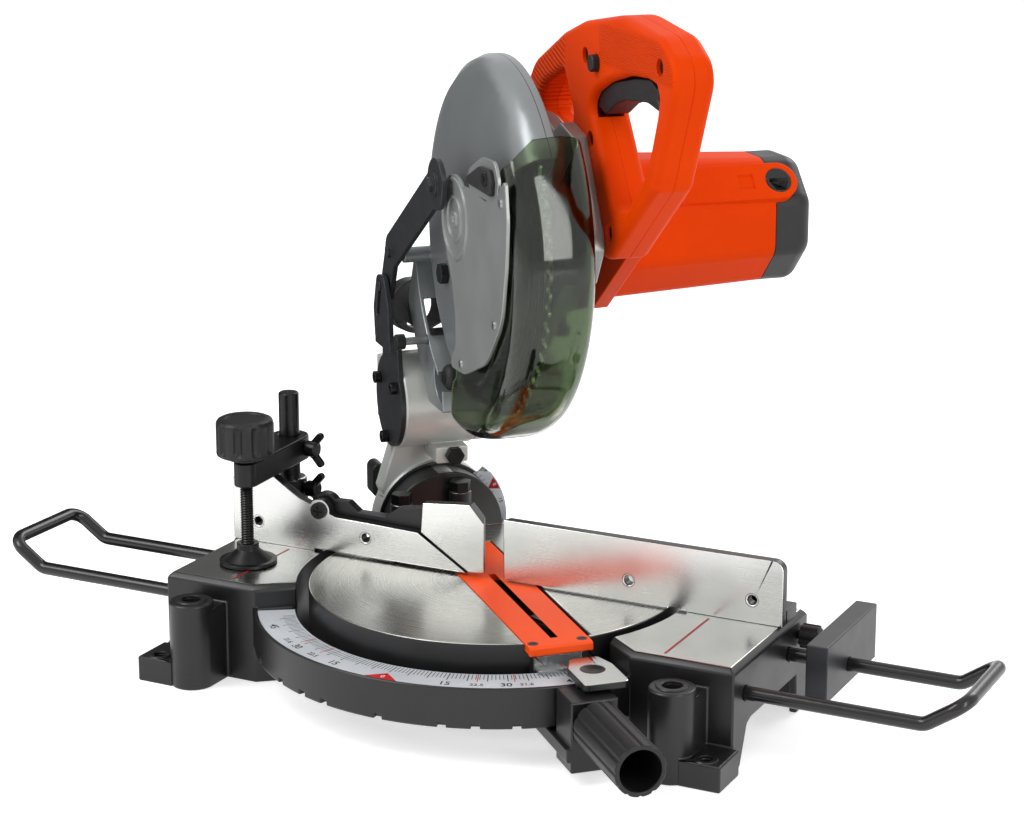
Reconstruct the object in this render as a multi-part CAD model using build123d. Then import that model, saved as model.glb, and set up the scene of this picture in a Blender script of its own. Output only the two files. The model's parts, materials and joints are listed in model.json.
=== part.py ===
from build123d import *
import math
import os

os.makedirs("parts", exist_ok=True)

# Compound miter saw for a 255 mm blade. Millimetres, Z up, origin on the turn axis at floor level.
# The table pieces are drawn square to the fence and swung by MITER_REST when they are saved.
MITER_REST = 45.0

# Fits, radial
RUN_FIT = 0.05
AIR = 0.4

# Fixed base
TABLE_Z = 76.0
DISC_R = 140.0
WELL_R = 149.0
RING_R = 181.0
RING_Z = 29.0
SCALE_Z = 57.0
SCALE_T = 0.8
RING_HALF = 59.0
LIP_W = 2.5
LIP_H = 2.0
WING_X = 230.0
WING_FRONT = -96.5
WING_BACK = 45.0
WING_INNER = 153.0
WING_CUT = 51.0
CAST_WALL = 6.0
CAST_TOP = 8.0
FLOOR_Z = 7.0
FLOOR_T = 8.0
FLOOR_R = 95.0
CENTRE_BOSS_R = 38.0
CENTRE_BOSS_Z = 26.0
WING_BEVEL = 4.0
ARCH_Z = 30.0
ARCH_FRONT = -82.0
ARCH_BACK = 28.0
FOOT_HOLE_R = 4.5
FOOT_T = 19.0
FOOT_X = 221.0
FOOT_Y = -122.0
REAR_FOOT_X = 204.0
REAR_FOOT_Y = 97.0
COLUMN_X = 194.0
COLUMN_Y = -118.0
COLUMN_R = 16.5
COLUMN_TOP = 65.7
DETENTS = (-45.0, -31.6, -22.5, -15.0, 0.0, 15.0, 22.5, 31.6, 45.0)
TURN_BOLT_R = 8.0

# Work holders and set plate
HOLD_R = 5.0
HOLD_Z = 52.0
HOLD_FRONT = -74.0
HOLD_BACK = 10.0
HOLD_IN = 160.0
HOLD_BEND = 357.0
HOLD_END = 385.0
HOLD_TOP = 71.0
HOLD_BEND_R = 12.0
HOLD_LEFT_MORE = 6.0
SET_X0 = 259.0
SET_X1 = 275.0
SET_Y0 = -36.0
SET_Y1 = 68.0
SET_Z0 = 38.0
SET_Z1 = 79.0
SHEET = 3.0
SET_SCREW_X = 265.0
SET_HEAD_R = 6.5

# Fence
FENCE_Y = -4.0
FENCE_T = 8.0
FENCE_GAP = 1.8
FENCE_END = 8.0
FENCE_TOP = 124.5
FENCE_RELIEF_X = 155.7
FENCE_HOLE_R = 3.5
FENCE_HOLES_X = (110.0, 206.0)
FENCE_HOLE_Z = 93.0
FENCE_FOOT_BACK = 16.5
FENCE_FOOT_T = 10.0
FENCE_END_BACK = 26.0
FENCE_END_W = 16.0
FENCE_BOLTS_X = (172.0, 216.0)
FENCE_BOLT_Y = 10.2
FENCE_BOLT_R = 3.0
FLIP_X = -150.7
FLIP_Z = 109.4
FLIP_R = 4.0

# Vise
VISE_X = -197.0
VISE_Y = 30.0
VISE_ROD_R = 8.0
VISE_ROD_Z0 = 34.0
VISE_ROD_TOP = 190.4
SOCKET_R = 13.0
SOCKET_TOP = 122.0
SOCKET_LOW = 98.0
WING_SCREW_R = 3.5
WING_SCREW_SPAN = 11.0
CLAMP_R = 3.0
CLAMP_Z = 60.0
CLAMP_HEAD_R = 9.0
SCREW_X = -187.0
SCREW_Y = -49.5
SCREW_R = 5.0
VISE_ARM_Z0 = 137.0
VISE_ARM_Z1 = 156.0
VISE_END_R = 15.0
VISE_BOSS_R = 9.0
PAD_R = 22.0
KNOB_R = 22.0
KNOB_Z0 = VISE_ARM_Z1 + 2
KNOB_Z1 = KNOB_Z0 + 32
KNOB_FLUTES = 10

# Turn table
TABLE_PLATE = 10.0
RIM_Z = 46.0
HUB_R = 34.0
HUB_TOP = 50.0
KERF_W = 47.0
KERF_T = 5.6
KERF_DROP = 0.2
KERF_FRONT = -146.0
KERF_BACK = 88.0
SLOT_FRONT = -132.0
SLOT_BACK = 12.0
SLOT_LEFT = -2.5
SLOT_RIGHT = 2.8
BEAM_HALF = 20.0
BEAM_Z0 = 17.0
BEAM_Z1 = 27.2
BLOCK_FRONT = -216.0
BLOCK_BACK = -185.0
BLOCK_Z0 = 9.0
BLOCK_Z1 = 60.0
GRIP_W = 44.0
GRIP_R = 18.0
GRIP_BORE = 14.5
GRIP_V0 = -302.0
GRIP_V1 = -222.0
GRIP_FLUTES = 12
STUD_R = 5.0
LEVER_V = -190.0
LEVER_W = 64.5
STOP_V = 119.0
STOPS = ((-39.0, 104.0), (9.0, 110.0))
KERF_SCREW_U = 18.0
KERF_SCREW_V = -139.0
KERF_SCREW_R = 2.0

# Bevel joint
BEVEL_W = 76.0
BEVEL_DISC_R = 47.0
BEVEL_DISC_V0 = 128.0
BEVEL_DISC_V1 = 150.0
BEVEL_RING_R = 50.0
BEVEL_SHAFT_R = 10.0
BEVEL_SCALE_R = 57.0

# Head pivot and arm
PIVOT_V = 150.0
PIVOT_W = 180.0
PIVOT_R = 10.0
BARREL_R = 38.0
BARREL_U0 = -36.0
BARREL_U1 = 23.2
KNUCKLE_R = 37.0
KNUCKLE_U0 = 23.6
KNUCKLE_U1 = 82.6
LUG_U0 = 83.0
LUG_U1 = 97.0
BRACKET_T = 4.0
BRACKET_SCREWS = ((174.0, 193.0), (127.0, 195.0), (155.0, 149.0))
BRACKET_SCREW_R = 3.0
LINK_V = 151.0
LINK_W = 272.0
LINK_T = 4.0
LINK_PIN_R = 4.0
LINK_SLOT_R = 4.5
LINK_ELBOW = (137.0, 302.0)

# Blade, case and guard
BLADE_V = 5.0
BLADE_W = 333.0
BLADE_R = 127.5
BLADE_T = 2.4
TEETH = 60
GULLET = 7.0
SPINDLE_R = 8.0
FLANGE_R = 20.0
CASE_R = 135.0
CASE_T = 3.2
CASE_OPEN_R = 32.0
CASE_U0 = -18.0
CASE_U1 = 12.0
CASE_A0 = -76.0
CASE_A1 = 145.0
BOSS_R = 45.0
GUARD_R = 141.5
GUARD_T = 2.5
GUARD_HALF = 30.0
GUARD_A0 = 140.0
GUARD_ARC = 150.0
COVER_U0 = -32.6
COVER_U1 = -30.0
COVER_DISC_AT = (BLADE_V - 11.0, BLADE_W + 20.0)
COVER_RINGS = ((30.0, 27.5), (17.0, 15.0), (6.0, 3.0))
COVER_RIDGE = 1.2
DOME_T = 3.9
RIVETS = (
    (BLADE_V - 118.0, BLADE_W + 50.0), (BLADE_V - 103.0, BLADE_W - 38.0), (BLADE_V - 25.0, BLADE_W - 84.0),
)
LINK_END = (BLADE_V + 10.0, BLADE_W + 42.0)
NOZZLE_AT = (BLADE_V + 135.0, BLADE_W - 84.0)
NOZZLE_R = 21.0
NOZZLE_BORE = 17.5
NOZZLE_LENGTH = 76.0
COLLAR_R = 22.0
COLLAR_LENGTH = 22.0
STOPPER_AT = (BLADE_V + 98.0, BLADE_W - 95.0)
STOPPER_R = 3.0
BUMPER_AT = (BLADE_V + 60.0, BLADE_W - 116.0)
BUMPER_R = 10.0
BUMPER_PEG_R = 4.0
LIP_U0 = -22.0
LIP_FLOOR = -10.0
LIP_RIM = 3.0
POST_AT = (BLADE_V + 114.0, BLADE_W - 31.0)
CASE_BOLT_AT = (BLADE_V + 58.0, BLADE_W - 35.0)

# Motor and gears
FLANK_U0 = 33.0
FLANK_U1 = 45.0
FLANK_R = 92.0
FLANK_CLIP = 60.0
DRUM_V = BLADE_V + 15.0
DRUM_W = BLADE_W
DRUM_R = 60.0
DRUM_U1 = 62.0
MOTOR_V = BLADE_V + 30.0
MOTOR_W = BLADE_W
MOTOR_FLANGE_R = 62.0
MOTOR_U0 = 62.0
MOTOR_U1 = 74.0
MOTOR_U3 = 247.0
MOTOR_U2 = MOTOR_U3 - 31.0
MOTOR_HALF = 53.0
MOTOR_END_HALF = 47.0
MOTOR_WALL = 4.0
MOTOR_ROUND = 13.0
GEAR_R = 23.4
PINION_R = 6.2
GEAR_U0 = 49.0
GEAR_U1 = 57.0
BEARING_W = 8.0
SMALL_SHAFT_R = 6.0
SMALL_BEARING_R = 13.0
MOTOR_BEARING_R = 14.0
ROTOR_R = 24.0
FIELD_R = 44.0
FIELD_BORE = 27.0
FIELD_U0 = 108.0
FIELD_U1 = 172.0
FAN_R = 40.0
FAN_U0 = 84.0
FAN_U1 = 98.0
FAN_BLADES = 12
BRUSH_U = MOTOR_U3 - 28.0
BRUSH_R = 10.0
BRUSH_LEAN = 51.0
BRUSH_TURN = Pos(0, MOTOR_V, MOTOR_W) * Rot(BRUSH_LEAN, 0, 0)
STRIP_U0 = 130.0
STRIP_R = 15.0
POCKET_U = MOTOR_U3 - 54.0
POCKET = 12.0
LOCK_U = 53.0
LOCK_R = 5.0

# Handle
HANDLE_U0 = 45.0
HANDLE_MID = 60.0
HANDLE_U1 = 75.0
HANDLE_WALL = 3.5
HANDLE_ROUND = 6.0
HANDLE_SCREWS = (
    (BLADE_V - 209.0, BLADE_W + 150.0),
    (BLADE_V - 69.0, BLADE_W + 141.0),
    (BLADE_V - 80.0, BLADE_W + 84.0),
    (BLADE_V - 119.0, BLADE_W + 25.0),
)
HANDLE_SCREW_R = 3.0
HANDLE_HEAD_R = 5.4
TRIGGER_U0 = 51.0
TRIGGER_U1 = 69.0
TRIGGER_AT = (BLADE_V - 195.0, BLADE_W + 128.0)
TRIGGER_PIN_R = 4.0
BUTTON_AT = (BLADE_V - 92.0, BLADE_W + 138.5)
BUTTON_R = 6.0


def block(x0, x1, y0, y1, z0, z1):
    return Pos((x0 + x1) / 2, (y0 + y1) / 2, (z0 + z1) / 2) * Box(x1 - x0, y1 - y0, z1 - z0)


def rod_x(radius, x0, x1, y, z):
    return Pos((x0 + x1) / 2, y, z) * Rot(0, 90, 0) * Cylinder(radius, x1 - x0)


def rod_y(radius, x, y0, y1, z):
    return Pos(x, (y0 + y1) / 2, z) * Rot(90, 0, 0) * Cylinder(radius, y1 - y0)


def rod_z(radius, x, y, z0, z1):
    return Pos(x, y, (z0 + z1) / 2) * Cylinder(radius, z1 - z0)


def slab_x(face, x0, x1):
    return extrude(Plane.YZ.offset(x0) * face, x1 - x0)


def slab_y(face, y0, y1):
    return extrude(Plane.XZ.offset(-y1) * face, y1 - y0)


def slab_z(face, z0, z1):
    return extrude(Plane.XY.offset(z0) * face, z1 - z0)


def outline(*points):
    return make_face(Polyline(*points, close=True))


def rounded(radius, *points):
    face = outline(*points)
    return fillet(face.vertices(), radius)


def shaped(*corners):
    face = outline(*[(x, y) for x, y, radius in corners])
    for x, y, radius in corners:
        face = fillet(face.vertices().sort_by_distance((x, y, 0))[0], radius)
    return face


def about_blade(*corners):
    return [(BLADE_V + corner[0], BLADE_W + corner[1], *corner[2:]) for corner in corners]


def polar(x, y, radius, angle):
    turn = math.radians(angle)
    return (x + radius * math.cos(turn), y + radius * math.sin(turn))


def fan(x, y, r0, r1, a0, a1):
    half = (a0 + a1) / 2
    rim = ThreePointArc(polar(x, y, r1, a0), polar(x, y, r1, half), polar(x, y, r1, a1))
    root = ThreePointArc(polar(x, y, r0, a1), polar(x, y, r0, half), polar(x, y, r0, a0))
    ends = [Line(rim @ 1, root @ 0), Line(root @ 1, rim @ 0)]
    return make_face([rim, root] + ends)


def spot(x, y, radius):
    return Pos(x, y) * Circle(radius)


def strap(p, q, radius):
    angle = math.degrees(math.atan2(q[1] - p[1], q[0] - p[0]))
    middle = Pos((p[0] + q[0]) / 2, (p[1] + q[1]) / 2)
    return middle * Rot(0, 0, angle) * SlotCenterToCenter(math.dist(p, q), 2 * radius)


def hexagon(x, y, flat):
    return Pos(x, y) * RegularPolygon(flat / 2, 6, major_radius=False)


def fluted(radius, flutes, depth):
    face = Circle(radius)
    for i in range(flutes):
        x, y = polar(0, 0, radius + depth, 360 * i / flutes)
        face -= spot(x, y, 2 * depth)
    return face


def socket_screw_x(x0, length, y, z, radius):
    head = rod_x(1.6 * radius, x0 - 1.8 * radius, x0, y, z)
    head -= slab_x(hexagon(y, z, 1.6 * radius), x0 - 1.8 * radius, x0 - 0.8 * radius)
    return head + rod_x(radius, x0, x0 + length, y, z)


def wing_screw(z):
    x0 = VISE_X + VISE_ROD_R + AIR
    x1 = VISE_X + VISE_END_R + 6
    root = 1.5 * WING_SCREW_R
    body = rod_x(WING_SCREW_R, x0, x1, VISE_Y, z)
    body += rod_x(1.8 * WING_SCREW_R, x1 - 5, x1 + 4, VISE_Y, z)
    for side in (-1, 1):
        ear = strap((x1 + 2, z + side * root), (x1 + 7, z + side * WING_SCREW_SPAN), 0.8 * WING_SCREW_R)
        body += slab_y(ear, VISE_Y - 2, VISE_Y + 2)
    return body


def base_wing(socket_top):
    cut = math.radians(WING_CUT)
    run = 0.4 * WELL_R
    inner = (WING_INNER - run * math.sin(cut), WING_FRONT + run * math.cos(cut))
    rear = (0.7 * WELL_R, WING_BACK)
    plan = outline((WING_INNER, WING_FRONT), (WING_X, WING_FRONT), (WING_X, WING_BACK), rear, inner)
    plan -= Circle(WELL_R)
    wing = slab_z(plan, 0, TABLE_Z)
    top = wing.edges().group_by(Axis.Z)[-1]
    wing = chamfer(top.filter_by(GeomType.LINE), WING_BEVEL)
    wing -= slab_z(offset(plan, -CAST_WALL), 0, TABLE_Z - CAST_TOP)
    arch = outline(
        (ARCH_FRONT, 0), (ARCH_FRONT + 12, ARCH_Z - 3), (ARCH_FRONT + 20, ARCH_Z), (ARCH_BACK - 3, ARCH_Z),
        (ARCH_BACK, 0),
    )
    wing -= slab_x(arch, WING_X - CAST_WALL - 1, WING_X)
    wing += block(FOOT_X - 16, FOOT_X + 14, FOOT_Y - 9, WING_FRONT + 1, 0, FOOT_T)
    wing += rod_z(COLUMN_R, COLUMN_X, COLUMN_Y, 0, COLUMN_TOP)
    wing += block(COLUMN_X - COLUMN_R, COLUMN_X + COLUMN_R, COLUMN_Y, WING_FRONT + 1, 0, COLUMN_TOP - 6)
    wing += block(REAR_FOOT_X - 26, REAR_FOOT_X + 24, WING_BACK - CAST_WALL, REAR_FOOT_Y + 15, 0, FOOT_T)
    for y in (HOLD_FRONT, HOLD_BACK):
        wing += rod_x(HOLD_R + 5, HOLD_IN + 6, WING_X, y, HOLD_Z)
    wing += rod_z(SOCKET_R, -VISE_X, VISE_Y, VISE_ROD_Z0 - 10, socket_top)
    for y in (HOLD_FRONT, HOLD_BACK):
        wing -= rod_x(HOLD_R + RUN_FIT, HOLD_IN - 1, WING_X + 1, y, HOLD_Z)
    wing -= rod_x(CLAMP_R + RUN_FIT, -VISE_X, WING_X, VISE_Y, CLAMP_Z)
    wing -= rod_z(VISE_ROD_R, -VISE_X, VISE_Y, VISE_ROD_Z0, socket_top)
    wing -= rod_z(FOOT_HOLE_R, FOOT_X, FOOT_Y, 0, FOOT_T)
    wing -= rod_z(FOOT_HOLE_R, REAR_FOOT_X, REAR_FOOT_Y, 0, FOOT_T)
    wing -= rod_z(7, COLUMN_X, COLUMN_Y, COLUMN_TOP - 14, COLUMN_TOP)
    for x in FENCE_BOLTS_X:
        wing -= rod_z(FENCE_BOLT_R, x, FENCE_BOLT_Y, TABLE_Z - CAST_TOP, TABLE_Z)
    return wing


def base_casting():
    base = base_wing(SOCKET_LOW) + mirror(base_wing(SOCKET_TOP), about=Plane.YZ)
    base -= rod_x(WING_SCREW_R + RUN_FIT, VISE_X + VISE_ROD_R, VISE_X + 2 * SOCKET_R, VISE_Y, SOCKET_TOP - 8)
    front = -90 - RING_HALF
    base += slab_z(fan(0, 0, WELL_R, RING_R, front, front + 2 * RING_HALF), RING_Z, SCALE_Z)
    base += slab_z(fan(0, 0, RING_R - LIP_W, RING_R, front, front + 2 * RING_HALF), SCALE_Z, SCALE_Z + LIP_H)
    for angle in DETENTS:
        base -= Rot(0, 0, angle) * block(-3, 3, -RING_R - 1, -RING_R + 5, RING_Z, RING_Z + 4)
    floor = slab_z(Circle(FLOOR_R), FLOOR_Z, FLOOR_Z + FLOOR_T)
    floor += block(-WELL_R - 3, WELL_R + 3, -12, 34, FLOOR_Z, FLOOR_Z + FLOOR_T)
    for i in range(6):
        x, y = polar(0, 0, 64, 60 * i + 30)
        floor -= rod_z(17, x, y, FLOOR_Z, FLOOR_Z + FLOOR_T)
    base += floor + rod_z(CENTRE_BOSS_R, 0, 0, FLOOR_Z, CENTRE_BOSS_Z)
    base -= rod_z(TURN_BOLT_R, 0, 0, FLOOR_Z, CENTRE_BOSS_Z)
    return base


def scale_plate():
    front = -90 - RING_HALF + 2
    face = fan(0, 0, WELL_R + 1.5, RING_R - LIP_W - 0.5, front, front + 2 * RING_HALF - 4)
    return slab_z(face, SCALE_Z, SCALE_Z + SCALE_T)


def holder(more):
    end = HOLD_END + more
    bend = HOLD_BEND + more
    path = FilletPolyline(
        (HOLD_IN, HOLD_FRONT, HOLD_Z),
        (bend, HOLD_FRONT, HOLD_Z),
        (end, HOLD_FRONT, HOLD_TOP),
        (end, HOLD_BACK, HOLD_TOP),
        (bend, HOLD_BACK, HOLD_Z),
        (HOLD_IN, HOLD_BACK, HOLD_Z),
        radius=HOLD_BEND_R,
    )
    return sweep(Plane(path @ 0, z_dir=path % 0) * Circle(HOLD_R), path)


def holder_right():
    return holder(0)


def holder_left():
    return mirror(holder(HOLD_LEFT_MORE), about=Plane.YZ)


def rod_clamp():
    screw = rod_x(CLAMP_R, -VISE_X + VISE_ROD_R + AIR, WING_X + 20, VISE_Y, CLAMP_Z)
    head = Plane((WING_X + 2, VISE_Y, CLAMP_Z), z_dir=(1, 0, 0)) * fluted(CLAMP_HEAD_R, 8, 1.2)
    return screw + extrude(head, 13)


def rod_clamp_right():
    return rod_clamp()


def rod_clamp_left():
    return mirror(rod_clamp(), about=Plane.YZ)


def set_plate():
    plate = block(SET_X0, SET_X1, SET_Y0, SET_Y1, SET_Z0, SET_Z1)
    plate -= block(SET_X0, SET_X1 - SHEET, SET_Y0 + SHEET, SET_Y1 - SHEET, SET_Z0, SET_Z1 - SHEET)
    plate += block(SET_X0 + 1, SET_X1, HOLD_BACK - 9, HOLD_BACK + 9, HOLD_Z - 9, HOLD_Z + 9)
    plate -= rod_x(HOLD_R + RUN_FIT, SET_X0, SET_X1, HOLD_BACK, HOLD_Z)
    return plate - rod_y(3 + RUN_FIT, SET_SCREW_X, HOLD_BACK - 9, HOLD_BACK, HOLD_Z)


def set_plate_screw():
    screw = rod_y(3, SET_SCREW_X, HOLD_BACK - 22, HOLD_BACK - HOLD_R - AIR, HOLD_Z)
    head = Plane((SET_SCREW_X, HOLD_BACK - 14, HOLD_Z), z_dir=(0, -1, 0)) * fluted(SET_HEAD_R, 8, 1.0)
    return screw + extrude(head, 10)


def fence_foot(side):
    front = FENCE_Y + FENCE_T
    top = TABLE_Z + FENCE_FOOT_T
    foot = block(FENCE_RELIEF_X + 3, WING_X - 1, front, FENCE_FOOT_BACK, TABLE_Z, top)
    foot += block(WING_X - 1 - FENCE_END_W, WING_X - 1, front, FENCE_END_BACK, TABLE_Z, top)
    for x in FENCE_BOLTS_X:
        foot -= rod_z(FENCE_BOLT_R, x, FENCE_BOLT_Y, TABLE_Z, top)
    if side > 0:
        return foot
    return mirror(foot, about=Plane.YZ)


def fence_holes(side):
    cut = Part()
    for x in FENCE_HOLES_X:
        cut += rod_y(FENCE_HOLE_R, side * x, FENCE_Y - 1, FENCE_Y + FENCE_T + 1, FENCE_HOLE_Z)
    return cut


def fence_right():
    low = TABLE_Z + FENCE_GAP
    end = WING_X - 0.5
    back = FENCE_Y + FENCE_T
    face = outline(
        (FENCE_END, low), (FENCE_RELIEF_X, low), (FENCE_RELIEF_X, TABLE_Z),
        (end, TABLE_Z), (end, FENCE_TOP), (FENCE_END, FENCE_TOP),
    )
    outer = face.vertices().sort_by(Axis.Y)[-2:].sort_by(Axis.X)[-1]
    fence = slab_y(fillet(outer, 8), FENCE_Y, back)
    relief = outline((0, FENCE_Y), (FENCE_END, FENCE_Y), (FENCE_END + 2.5, back), (0, back))
    fence -= slab_z(relief, TABLE_Z, FENCE_TOP)
    return fence + fence_foot(1) - fence_holes(1)


def fence_left():
    low = TABLE_Z + FENCE_GAP
    face = outline(
        (-WING_X + 1, TABLE_Z), (-WING_X + 1, 126), (-192, 132), (-168.5, 117), (-137, 106),
        (-65, 104), (-23, low), (-FENCE_RELIEF_X, low), (-FENCE_RELIEF_X, TABLE_Z),
    )
    fence = slab_y(face, FENCE_Y, FENCE_Y + FENCE_T) + fence_foot(-1) - fence_holes(-1)
    fence += rod_y(9, FLIP_X, FENCE_Y, FENCE_Y + FENCE_T, FLIP_Z)
    return fence - rod_y(FLIP_R, FLIP_X, FENCE_Y, FENCE_Y + FENCE_T, FLIP_Z)


def turn_bolt():
    bolt = rod_z(TURN_BOLT_R, 0, 0, FLOOR_Z, HUB_TOP + 9)
    bolt += slab_z(hexagon(0, 0, 22), FLOOR_Z - 4, FLOOR_Z)
    return bolt + slab_z(hexagon(0, 0, 24), HUB_TOP + AIR, HUB_TOP + 8)


def base_bolts():
    bolts = turn_bolt()
    for x in FENCE_BOLTS_X:
        for side in (-1, 1):
            top = TABLE_Z + FENCE_FOOT_T
            bolt = rod_z(FENCE_BOLT_R, side * x, FENCE_BOLT_Y, TABLE_Z - CAST_TOP - 4, top)
            bolt += slab_z(hexagon(side * x, FENCE_BOLT_Y, 10), top, top + 5)
            bolts += bolt
    return bolts


def sub_fence():
    back = FENCE_Y + FENCE_T + AIR
    end = -FENCE_END
    face = outline((-62, 104.6), (-60, 128), (-20, 132), (end, 118.4), (end, 80), (-21, 78.6))
    plate = slab_y(face, FENCE_Y, back)
    relief = outline((0, FENCE_Y), (end, FENCE_Y), (end - 3, back), (0, back))
    plate -= slab_z(relief, TABLE_Z, FENCE_TOP + 10)
    arm = outline(
        (-157, 116), (-130, 117), (-121, 110), (-97, 110), (-86, 118), (-53, 124), (-40, 100), (-157, 101),
    )
    plate += slab_y(arm, back, back + 8)
    plate += rod_y(12, FLIP_X, back, back + 8, FLIP_Z)
    return plate - rod_y(FLIP_R + RUN_FIT, FLIP_X, back, back + 8, FLIP_Z)


def sub_fence_screw():
    screw = rod_y(FLIP_R, FLIP_X, FENCE_Y, FENCE_Y + FENCE_T + 11, FLIP_Z)
    screw += rod_y(6.5, FLIP_X, FENCE_Y - 2.5, FENCE_Y, FLIP_Z)
    screw -= block(FLIP_X - 4, FLIP_X + 4, FENCE_Y - 2.5, FENCE_Y - 1, FLIP_Z - 0.7, FLIP_Z + 0.7)
    screw -= block(FLIP_X - 0.7, FLIP_X + 0.7, FENCE_Y - 2.5, FENCE_Y - 1, FLIP_Z - 4, FLIP_Z + 4)
    nut = slab_y(hexagon(FLIP_X, FLIP_Z, 13), FENCE_Y + FENCE_T + 2 * AIR + 8, FENCE_Y + FENCE_T + 15)
    return screw + nut


def vise_rod():
    rod = rod_z(VISE_ROD_R, VISE_X, VISE_Y, VISE_ROD_Z0, VISE_ROD_TOP)
    return chamfer(rod.edges().group_by(Axis.Z)[-1], 1)


def vise_arm():
    rod_end = Pos(VISE_X, VISE_Y) * Circle(VISE_END_R)
    boss = Pos(SCREW_X, SCREW_Y) * Circle(VISE_BOSS_R)
    arm = slab_z(make_hull(rod_end.edges() + boss.edges()), VISE_ARM_Z0, VISE_ARM_Z1)
    middle = (VISE_ARM_Z0 + VISE_ARM_Z1) / 2
    arm -= rod_z(VISE_ROD_R + RUN_FIT, VISE_X, VISE_Y, VISE_ARM_Z0, VISE_ARM_Z1)
    arm -= rod_z(SCREW_R + RUN_FIT, SCREW_X, SCREW_Y, VISE_ARM_Z0, VISE_ARM_Z1)
    return arm - rod_x(WING_SCREW_R + RUN_FIT, VISE_X + VISE_ROD_R, VISE_X + VISE_END_R + 2, VISE_Y, middle)


def vise_arm_screw():
    return wing_screw((VISE_ARM_Z0 + VISE_ARM_Z1) / 2)


def vise_rod_screw():
    return wing_screw(SOCKET_TOP - 8)


def vise_foot():
    foot = rod_z(PAD_R, SCREW_X, SCREW_Y, TABLE_Z + AIR, TABLE_Z + 3)
    foot += Pos(SCREW_X, SCREW_Y, TABLE_Z + 7) * Cone(PAD_R - 4, 8.5, 8)
    foot += rod_z(8.5, SCREW_X, SCREW_Y, TABLE_Z + 10, TABLE_Z + 16)
    return foot - rod_z(SCREW_R + RUN_FIT, SCREW_X, SCREW_Y, TABLE_Z + 8, TABLE_Z + 16)


def vise_screw():
    screw = rod_z(SCREW_R, SCREW_X, SCREW_Y, TABLE_Z + 8 + AIR, KNOB_Z0 + 1)
    screw += rod_z(0.6 * KNOB_R, SCREW_X, SCREW_Y, KNOB_Z0, KNOB_Z0 + 4)
    return screw + slab_z(Pos(SCREW_X, SCREW_Y) * fluted(KNOB_R, KNOB_FLUTES, 2.0), KNOB_Z0 + 3, KNOB_Z1)


def turn_table():
    plate = TABLE_Z - TABLE_PLATE
    table = rod_z(DISC_R, 0, 0, RIM_Z, TABLE_Z) - rod_z(DISC_R - 8, 0, 0, RIM_Z, plate)
    table += rod_z(HUB_R, 0, 0, CENTRE_BOSS_Z + AIR, plate)
    for i in range(8):
        table += Rot(0, 0, 45 * i + 22.5) * block(HUB_R - 2, DISC_R - 6, -3, 3, RIM_Z, plate)
    table += block(-BEAM_HALF, BEAM_HALF, KERF_FRONT, -DISC_R + 4, BEAM_Z0, TABLE_Z - 6.5)
    table += block(-BEAM_HALF, -8, -DISC_R + 4, -CENTRE_BOSS_R - 3, BEAM_Z0, plate)
    table += block(-BEAM_HALF, BEAM_HALF, BLOCK_FRONT, -CENTRE_BOSS_R - 3, BEAM_Z0, BEAM_Z1)
    table += block(-17, 17, BLOCK_FRONT, BLOCK_BACK, BLOCK_Z0, BLOCK_Z1)
    table += block(-38, 38, DISC_R - 20, BEVEL_DISC_V1, 36, plate)
    table += rod_y(BEVEL_DISC_R, 0, BEVEL_DISC_V0, BEVEL_DISC_V1, BEVEL_W)
    for u, top in STOPS:
        table += rod_z(9, u, STOP_V, plate - 8, top)
    bed = KERF_W / 2 + AIR
    table -= block(-bed, bed, KERF_FRONT, KERF_BACK + AIR, TABLE_Z - KERF_T, TABLE_Z)
    table -= block(-5, 26, SLOT_FRONT - 2, SLOT_BACK + 2, HUB_TOP + 6, TABLE_Z)
    table -= rod_z(16, 0, 0, HUB_TOP, TABLE_Z - KERF_T)
    table -= rod_z(TURN_BOLT_R + RUN_FIT, 0, 0, CENTRE_BOSS_Z, HUB_TOP)
    table -= rod_y(BEVEL_SHAFT_R, 0, DISC_R - 20, BEVEL_DISC_V1, BEVEL_W)
    table -= rod_y(STUD_R + RUN_FIT, 0, BLOCK_FRONT, BLOCK_FRONT + 20, GRIP_W)
    for u, top in STOPS:
        table -= rod_z(4, u, STOP_V, top - 14, top)
    for u in (-KERF_SCREW_U, KERF_SCREW_U):
        table -= rod_z(KERF_SCREW_R, u, KERF_SCREW_V, TABLE_Z - KERF_T - 4, TABLE_Z - KERF_T)
    return table


def kerf_board():
    top = TABLE_Z - KERF_DROP
    low = TABLE_Z - KERF_T
    board = block(-KERF_W / 2, KERF_W / 2, KERF_FRONT, KERF_BACK, low, top)
    slot = outline((SLOT_LEFT, low), (SLOT_RIGHT + 7, low), (SLOT_RIGHT, top), (SLOT_LEFT, top))
    board -= slab_y(slot, SLOT_FRONT, SLOT_BACK)
    for u in (-KERF_SCREW_U, KERF_SCREW_U):
        board -= rod_z(KERF_SCREW_R, u, KERF_SCREW_V, low, top)
        board -= Pos(u, KERF_SCREW_V, top - 1) * Cone(KERF_SCREW_R, 2 * KERF_SCREW_R, 2)
    return board


def miter_pointer():
    plate = block(-20, 15, -158, KERF_FRONT, SCALE_Z + 3, SCALE_Z + 5)
    return plate + block(-20, 15, KERF_FRONT - 2, KERF_FRONT, SCALE_Z + 3, TABLE_Z - 7)


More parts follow.
